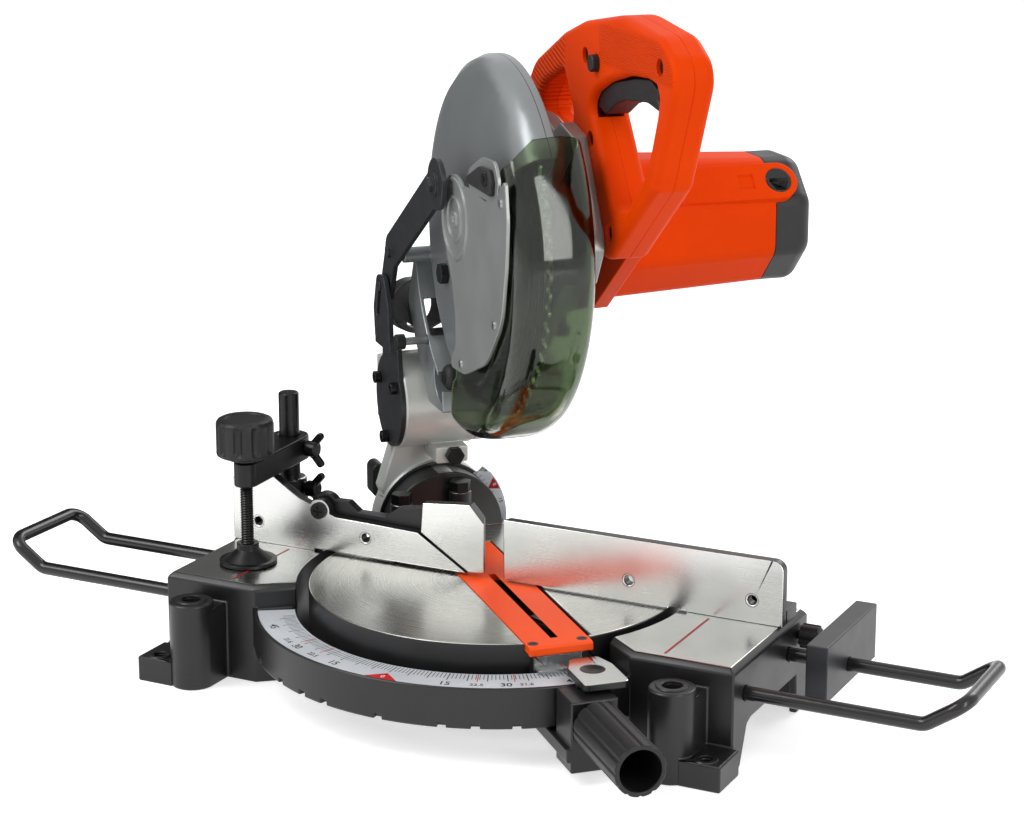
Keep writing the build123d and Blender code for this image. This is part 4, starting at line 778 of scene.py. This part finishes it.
sector = []
for angle in range(-12, 53, 2):
    rise = math.sin(math.radians(angle))
    sector.append((angle, (SHEET_IN, SHEET_OUT if rise < SHEET_RISE / SHEET_OUT else SHEET_RISE / rise)))
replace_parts(bevel_sheet("bevel_scale_sheet", [sector], 0.0, SHEET_THICK, scale_sheet), "bevel_scale")
mark_reach = (MARK_IN, MARK_OUT)
marks = [
    [(angle - MARK_HALF_DEG, mark_reach), (angle + MARK_HALF_DEG, mark_reach)] for angle in range(-11, 50, 5)
]
bevel_sheet("bevel_scale_marks", marks, PRINT_LIFT, PRINT_THICK, black_ink)
triangle = [
    (ZERO_DEG - ZERO_HALF_DEG, (56.2, 56.3)), (ZERO_DEG, (47.9, 56.6)),
    (ZERO_DEG + ZERO_HALF_DEG, (56.2, 56.3)),
]
bevel_sheet("bevel_scale_arrow", [triangle], PRINT_LIFT, PRINT_THICK, red_ink)
bevel_word("bevel_scale_zero", "0", 4.0, ZERO_DEG, white_ink)
bevel_word("bevel_scale_number", "15", 4.4, FIFTEEN_DEG, black_ink)

# Bevel arm: a silver painted casting with the head's pivot barrel, tilting on the shaft behind the table.
# Its front flange is left black; screws, the pivot shaft and a black link bracket are bolted to it.
FLANGE_V, FLANGE_TOP = 152.5, 140.0
# Silver lacquer on a casting: a pale grey, lighter than the lacquer's own as painted reflection of the bright
# floor, with fine metal flake and a broad soft highlight.
silver_paint_with_painted_reflection = surface(
    "silver_paint_on_casting", ("#c8cbc7", "#dcded9"), blotch_mm=45, rough=(0.3, 0.42), grain_mm=0.35,
    bump_mm=0.008, Metallic=0.2,
)


def arm_finish(spot, normal):
    return 1 if -along(normal) > LEVEL and along(spot) < FLANGE_V and spot.z < FLANGE_TOP else 0


def coat_node(name, coat):
    coats = frame["nodes"][name].data.materials
    coats.clear()
    coats.append(coat)


# The arm's pale silver grey is partly painted reflection.
eased("bevel_arm", 1.4, silver_paint_with_painted_reflection, black_enamel, pick=arm_finish)
eased("arm_screws", 0.4, black_oxide)
eased("pivot_shaft", 0.5, zinc)
coat_node("pivot_spring", zinc)
eased("link_bracket", 0.5, black_sheet)
eased("link_lever", 0.5, black_sheet)

# Gear housing and blade case: two castings screwed together in silver paint, drawn darker than the arm's,
# whose paler grey is painted reflection, and darker still on the case as painted shade; the case is a deep
# shell.
# A parting line runs round the case's rim; the moulded dust nozzle and lock button are fixed to it.
BLADE_V, BLADE_W = 5.0, 333.0
SEAM_IN, SEAM_OUT, SEAM_LOW, SEAM_HIGH = 133.0, 135.06, -6.2, -5.8
SEAM_START, SEAM_ARC, SEAM_STEPS = -55.0, 190.0, 90
# Silver lacquer on the smooth case: its mid grey is darker than the lacquer's own, as painted shade on the
# case's left side, with a longer and sharper highlight than on the rough castings.
case_paint_with_painted_shade = surface(
    "silver_paint_on_case", ("#868a8c", "#989c9c"), blotch_mm=70, rough=(0.3, 0.38), grain_mm=0.35,
    bump_mm=0.006, Metallic=0.5,
)
# The same lacquer on the housing's sand-blasted skin: paler than on the case, whose darker grey is painted
# shade, and more broken.
housing_paint = surface(
    "silver_paint_on_housing", ("#9fa29f", "#b6b8b4"), blotch_mm=45, rough=(0.3, 0.42), grain_mm=0.35,
    bump_mm=0.008, Metallic=0.5,
)
eased("gear_housing", 1.4, housing_paint)
# The case's darker grey is painted shade.
eased("blade_case", 0.8, case_paint_with_painted_shade)


# A lathe profile placed by this turns about the u axis, with its heights pointing left.
def facing_left(u, v, w):
    return Matrix.Translation(swung(u, v, w) * 1000) @ Matrix((UP, BACK, -RIGHT)).transposed().to_4x4()


seam = bmesh.new()
seam_profile = [(SEAM_IN, SEAM_LOW), (SEAM_OUT, SEAM_LOW), (SEAM_OUT, SEAM_HIGH), (SEAM_IN, SEAM_HIGH)]
lathe(seam, seam_profile, facing_left(0, BLADE_V, BLADE_W), SEAM_START, SEAM_ARC, SEAM_STEPS)
bmesh.ops.recalc_face_normals(seam, faces=seam.faces)
add_piece("case_seam", mesh_of(seam, "case_seam"), "saw_head", "silver_casting", black_oxide)
eased("dust_nozzle", 0.6, black_moulding)
eased("head_screws", 0.4, black_oxide)
eased("shaft_lock", 0.5, black_moulding)

# Rubber stops and the head stopper pin: two soft black rubber stops, each held by a pan head screw.
# The pin is plated steel with a moulded knob on its left end, and slides in the housing.
# Moulded rubber: black and dead matt.
black_rubber = surface(
    "black_rubber", ("#0c0c0d", "#19191a"), blotch_mm=10, rough=(0.6, 0.75), grain_mm=0.5, bump_mm=0.02
)
eased("guard_bumper", 0.8, black_rubber)
eased("guard_dome", 0.6, black_rubber)
PAN_HEAD = [
    (0, 2.0), (2.6, 2.0), (2.6, 1.2), (1.1, 0.9), (1.1, 1.6), (4.6, 1.5), (4.9, 0.8), (4.9, -0.6), (0, -0.6),
]
for word, place, body in (
    ("dome_screw", (-36.4, -90, 396), "lower_guard"), ("bumper_screw", (-19.9, 65, 217), "saw_head"),
):
    add_piece(word, lathed(word, PAN_HEAD, facing_left(*place)), body, "black_steel", black_oxide)
PIN_KNOB_U = -39.9


def pin_finish(spot, normal):
    return 0 if across(spot) < PIN_KNOB_U else 1


eased("stopper_pin", 0.4, black_moulding, zinc, pick=pin_finish)

# Lower guard: a moulded polycarbonate shell round the front of the blade, stepped on its left wall.
# It turns on a hub round the spindle, and a riveted sheet cover joins it to the link lever.
GUARD_START, GUARD_ARC, GUARD_WALL, GUARD_TURNS = 140.0, 136.0, 2.4, 110
GUARD_CORNER, CORNER_STEPS, CORNER_SHARE = 6.0, 4, 0.45
# The shell's outer line as radius from the blade's axis and place along it, from left to right.
GUARD_PATH = (
    (84, -23), (104, -23), (109, -26), (133, -26), (139.5, -21), (141.5, -12), (141.5, 15), (137.5, 25.5),
    (128, 30), (48.5, 30),
)
# The left wall's upper end lies some degrees lower than the right wall's.
LEFT_DROP, DROP_FROM, DROP_WIDTH = 6.5, -6.0, 20.0
HUB = [(45.1, -32), (51.5, -32), (52, -31.5), (52, -24), (45.1, -24)]
GUARD_HAZE = 22.22
# Smoke-green polycarbonate: clear and glossy; teeth and case show through it, darker where it is thick.
smoke_green, tree, shader = start_material(
    "smoke_green_polycarbonate", Transmission_Weight=1.0, IOR=1.5, Base_Color=hex_linear("#eef2ec"),
)
spot = node(tree, "ShaderNodeTexCoord").outputs["Object"]
haze = node(tree, "ShaderNodeTexNoise", {"Vector": spot, "Scale": 1000 / GUARD_HAZE, "Detail": 3.0})
dull = node(tree, "ShaderNodeMapRange", {"Value": haze.outputs["Fac"], "To Min": 0.03, "To Max": 0.09})
tree.links.new(dull.outputs[0], shader.inputs["Roughness"])
smoke = node(tree, "ShaderNodeVolumeAbsorption", {"Color": hex_linear("#7c9e38"), "Density": 560.0})
tree.links.new(smoke.outputs[0], tree.nodes["Material Output"].inputs["Volume"])


def rounded_path(points):
    path = [Vector(points[0])]
    for before, corner, after in zip(points, points[1:], points[2:]):
        before, corner, after = Vector(before), Vector(corner), Vector(after)
        shorter = min((corner - before).length * CORNER_SHARE, (after - corner).length * CORNER_SHARE)
        reach = min(GUARD_CORNER, shorter)
        start = corner + (before - corner).normalized() * reach
        end = corner + (after - corner).normalized() * reach
        for i in range(CORNER_STEPS + 1):
            t = i / CORNER_STEPS
            path.append(start * (1 - t) ** 2 + corner * 2 * t * (1 - t) + end * t * t)
    path.append(Vector(points[-1]))
    return path


def guard_mesh(name):
    outer = rounded_path(GUARD_PATH)
    inner = []
    for i, spot in enumerate(outer):
        ahead = outer[min(i + 1, len(outer) - 1)] - outer[max(i - 1, 0)]
        inner.append(spot + Vector((ahead.y, -ahead.x)).normalized() * GUARD_WALL)
    loop = outer + inner[::-1]
    shape = bmesh.new()
    rings = []
    for step in range(GUARD_TURNS + 1):
        ring = []
        for r, u in loop:
            drop = LEFT_DROP * min(max((DROP_FROM - u) / DROP_WIDTH, 0.0), 1.0)
            turn = math.radians(GUARD_START + drop + (GUARD_ARC - drop) * step / GUARD_TURNS)
            ring.append(shape.verts.new(swung(u, BLADE_V + r * math.cos(turn), BLADE_W + r * math.sin(turn))))
        rings.append(ring)
    size = len(loop)
    for first, second in zip(rings, rings[1:]):
        for i in range(size):
            shape.faces.new((first[i], first[(i + 1) % size], second[(i + 1) % size], second[i]))
    for ring in (rings[0], rings[-1]):
        for i in range(len(outer) - 1):
            shape.faces.new((ring[i], ring[i + 1], ring[size - 2 - i], ring[size - 1 - i]))
    lathe(shape, HUB, facing_left(0, BLADE_V, BLADE_W))
    bmesh.ops.recalc_face_normals(shape, faces=shape.faces)
    mesh = mesh_of(shape, name)
    smooth(mesh, 40)
    return mesh


guard = add_piece("guard_shell", guard_mesh("guard_shell"), "lower_guard", "smoke_green", smoke_green)
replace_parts(guard, "lower_guard")
# Grey coated sheet: even and flat, with a dull metal shine on the pressed rings.
grey_sheet = surface(
    "grey_coated_sheet", ("#949896", "#a4a8a5"), blotch_mm=40, rough=(0.32, 0.42), grain_mm=0.5,
    bump_mm=0.006, Metallic=0.45,
)
RIVET_U, DISC_V, DISC_W, DISC_R = -32.7, BLADE_V - 11, BLADE_W + 20, 31.0


# What stands out left of the sheet is a rivet, apart from the pressed rings.
def cover_finish(spot, normal):
    from_disc = math.hypot(along(spot) - DISC_V, spot.z - DISC_W)
    return 1 if across(spot) < RIVET_U and from_disc > DISC_R else 0


eased("guard_cover", 0.4, grey_sheet, zinc, pick=cover_finish)

# Blade: a ground and lapped steel disc with brazed carbide tips.
# It is clamped between two flanges on the plated spindle by a bolt.
blade_centre = swung(0, BLADE_V, BLADE_W) * 1000
# Lapped steel: rings round the spindle, drawn coarser than real ones to show, that spread light in fans.
blade_steel = turned_metal(
    "lapped_blade_steel", ("#8d9092", "#bfc0c0"), centre_mm=blade_centre, axis=RIGHT, ring_mm=1.2,
    rough=(0.22, 0.36),
)
eased("saw_blade", 0.0, blade_steel)
eased("blade_flanges", 0.4, zinc)
eased("blade_bolt", 0.4, black_oxide)
coat_node("spindle", zinc)

# Motor: an orange ABS housing screwed to the gear housing, with a black end cover and a screwed brush cap.
# The wound parts, bearings and fan inside don't show.
# Spark-textured ABS: a strong flat orange with next to no gloss.
ORANGE = {
    "shades": ("#e43f00", "#f04800"), "blotch_mm": 50, "rough": (0.44, 0.56), "grain_mm": 0.55,
    "bump_mm": 0.016, "Specular_IOR_Level": 0.05,
}
orange_abs = surface("orange_moulded_abs", **ORANGE)
eased("motor_housing", 0.8, orange_abs)
# Polished phenolic: deep black with a mirror-like gloss.
gloss_black = surface(
    "glossy_black_phenolic", ("#101011", "#1a1a1b"), blotch_mm=10, rough=(0.08, 0.16), grain_mm=0.7,
    bump_mm=0.004,
)
eased("motor_cover", 0.5, black_moulding)
eased("brush_cap", 0.5, gloss_black)
# Varnished copper wire on a sheet iron core: brown and grey in fine strands.
core_iron = surface(
    "laminated_core_and_wire", ("#4a2c1c", "#6b6a68"), blotch_mm=3, rough=(0.4, 0.6), grain_mm=(60, 0.8, 0.8),
    bump_mm=0.05, Metallic=0.8,
)
for name, coat in (
    ("bearings", zinc), ("armature", core_iron), ("motor_field", core_iron), ("motor_fan", black_moulding),
    ("switch_body", black_moulding),
):
    coat_node(name, coat)


# Handle: two orange ABS halves screwed together on a middle seam, with a black trigger and lock-off button.
# The top grip has a fine diamond texture, and the carrying bow behind it has ribs.
def local_axes(tree):
    spot = node(tree, "ShaderNodeTexCoord").outputs["Object"]
    reaches = []
    for axis in (RIGHT, BACK, UP):
        reach = node(tree, "ShaderNodeVectorMath", {0: spot, 1: axis * 1000}, operation="DOT_PRODUCT")
        reaches.append(reach.outputs["Value"])
    return reaches


def band(tree, value, low, high, soft):
    rise = node(tree, "ShaderNodeMapRange", {"Value": value, "From Min": low, "From Max": low + soft})
    fall = node(
        tree, "ShaderNodeMapRange",
        {"Value": value, "From Min": high - soft, "From Max": high, "To Min": 1.0, "To Max": 0.0},
    )
    return product(tree, rise.outputs[0], fall.outputs[0])


def waves(tree, first, second, share, pitch):
    both = node(tree, "ShaderNodeMath", {0: second, 1: share, 2: first}, operation="MULTIPLY_ADD")
    turn = node(tree, "ShaderNodeMath", {0: both.outputs[0], 1: 2 * math.pi / pitch}, operation="MULTIPLY")
    return node(tree, "ShaderNodeMath", {0: turn.outputs[0]}, operation="SINE").outputs[0]


def product(tree, *values):
    total = values[0]
    for value in values[1:]:
        total = node(tree, "ShaderNodeMath", {0: total, 1: value}, operation="MULTIPLY").outputs[0]
    return total


def add_relief(material, height, depth_mm):
    tree = material.node_tree
    shader = tree.nodes["Principled BSDF"]
    under = shader.inputs["Normal"].links[0].from_socket
    bump = node(tree, "ShaderNodeBump", {"Height": height, "Normal": under, "Distance": depth_mm / 1000})
    tree.links.new(bump.outputs[0], shader.inputs["Normal"])


DIAMOND_PITCH, DIAMOND_DEPTH = 3.2, 0.35
RIB_PITCH, RIB_LEAN, RIB_DEPTH = 4.2, -0.35, 0.5
# The same ABS: the diamonds, drawn coarser than real ones to show, break its light into fine points.
grip_abs = surface("orange_abs_with_grip_texture", **ORANGE)
tree = grip_abs.node_tree
u, v, w = local_axes(tree)
diamonds = product(tree, waves(tree, v, w, 1.0, DIAMOND_PITCH), waves(tree, v, w, -1.0, DIAMOND_PITCH))
grip_area = product(
    tree, band(tree, v, -232, -88, 6), band(tree, w, 470, 502, 4), band(tree, u, 40, 46.5, 0.6)
)
add_relief(grip_abs, product(tree, diamonds, grip_area), DIAMOND_DEPTH)
bow_area = product(tree, band(tree, v, -24, 60, 5), band(tree, w, 415, 490, 5))
add_relief(grip_abs, product(tree, waves(tree, w, v, RIB_LEAN, RIB_PITCH), bow_area), RIB_DEPTH)
eased("handle_left", 0.5, grip_abs)
eased("handle_right", 0.5, grip_abs)
eased("trigger", 1.0, black_moulding)
eased("lock_button", 0.8, black_moulding)


# Studio: a pale floor, an even white sky, a large soft key lamp from the upper left, a fill and a rim lamp.
# A grey card at the left shows only in reflections and through clear parts, so that dark sides stay dark.
def seen_directly(tree):
    rays = node(tree, "ShaderNodeLightPath").outputs
    seen = rays["Is Camera Ray"]
    for kind in ("Is Glossy Ray", "Is Transmission Ray"):
        seen = node(tree, "ShaderNodeMath", {0: seen, 1: rays[kind]}, operation="MAXIMUM").outputs[0]
    return seen


FLOOR_HALF_M, FLOOR_GLOW = 12.0, 0.62
floor_shape = bmesh.new()
bmesh.ops.create_grid(floor_shape, x_segments=1, y_segments=1, size=FLOOR_HALF_M)
floor_mesh = mesh_of(floor_shape, "floor")
floor = placed("floor", floor_mesh)
# Matt floor paint: it keeps the object's soft shadow, and glows a little to the eye so that it meets the sky.
floor_paint, tree, shader = start_material(
    "pale_floor", Base_Color=hex_linear("#ededed"), Roughness=0.9, Emission_Color=hex_linear("#ffffff")
)
glow = node(tree, "ShaderNodeMath", {0: seen_directly(tree), 1: FLOOR_GLOW}, operation="MULTIPLY")
tree.links.new(glow.outputs[0], shader.inputs["Emission Strength"])
floor_mesh.materials.append(floor_paint)

SKY_LIGHT, SKY_SEEN = 0.55, 1.0
sky = bpy.data.worlds.new("even_sky")
bpy.context.scene.world = sky
sky.use_nodes = True
tree = sky.node_tree
sky_back = tree.nodes["Background"]
sky_back.inputs["Color"].default_value = hex_linear("#ffffff")
level = node(
    tree, "ShaderNodeMapRange", {"Value": seen_directly(tree), "To Min": SKY_LIGHT, "To Max": SKY_SEEN}
)
tree.links.new(level.outputs[0], sky_back.inputs["Strength"])

LAMP_AIM = Vector((0, 0, 0.2))
# Name, place in metres, width and height in metres, and watts.
for word, spot, wide, tall, power in (
    ("key", (-1.6, -1.6, 2.4), 1.2, 1.9, 42.0), ("fill", (2.2, -1.2, 1.3), 0.5, 2.2, 22.0),
    ("rim", (0.6, 2.2, 1.9), 1.4, 1.4, 26.0),
):
    lamp = bpy.data.lights.new(word, "AREA")
    lamp.energy = power
    lamp.shape = "RECTANGLE"
    lamp.size = wide
    lamp.size_y = tall
    lamp_object = placed(word, lamp)
    lamp_object.location = spot
    lamp_object.rotation_euler = (LAMP_AIM - Vector(spot)).to_track_quat("-Z", "Y").to_euler()

FLAG_UPRIGHT, FLAG_FLOOR = ((-5, -320, 0), (5, 320, 700)), ((0, -150, 1), (300, 400, 3))
FLAG_PLACE, FLAG_TURN = (-0.55, 0.2, 0), math.radians(-27)
flag_shape = bmesh.new()
for card in (FLAG_UPRIGHT, FLAG_FLOOR):
    flag_shape.from_mesh(brick(*card))
flag_mesh = mesh_of(flag_shape, "flag")
flag_mesh.transform(Matrix.Translation(FLAG_PLACE) @ Matrix.Rotation(FLAG_TURN, 4, "Z"))
flag = placed("flag", flag_mesh)
# Felt: a flat mid grey with no shine at all.
flag_mesh.materials.append(start_material("grey_felt", Base_Color=hex_linear("#6c6c6c"), Roughness=1.0)[0])
flag.visible_camera = False
flag.visible_diffuse = False
flag.visible_shadow = False

# Camera: the viewpoint of the photograph, front right and a little above, with a long lens.
# Nothing is out of focus, and colours come out as they are written.
AZIMUTH, ELEVATION, ROLL = math.radians(27.08), math.radians(14.08), math.radians(-0.12)
DISTANCE, AIM = 1.8796, Vector((0, 0, 0.245))
lens = bpy.data.cameras.new("camera")
lens.sensor_width = 36.0
lens.lens = 90.27
lens.shift_x = 0.0161
lens.shift_y = -0.0457
camera = placed("camera", lens)
backward = Vector((
    math.sin(AZIMUTH) * math.cos(ELEVATION), -math.cos(AZIMUTH) * math.cos(ELEVATION), math.sin(ELEVATION),
))
camera.location = AIM + backward * DISTANCE
upright = backward.to_track_quat("Z", "Y").to_matrix()
camera.rotation_euler = (upright @ Matrix.Rotation(ROLL, 3, "Z")).to_euler()
bpy.context.scene.camera = camera
bpy.context.scene.view_settings.view_transform = "Standard"
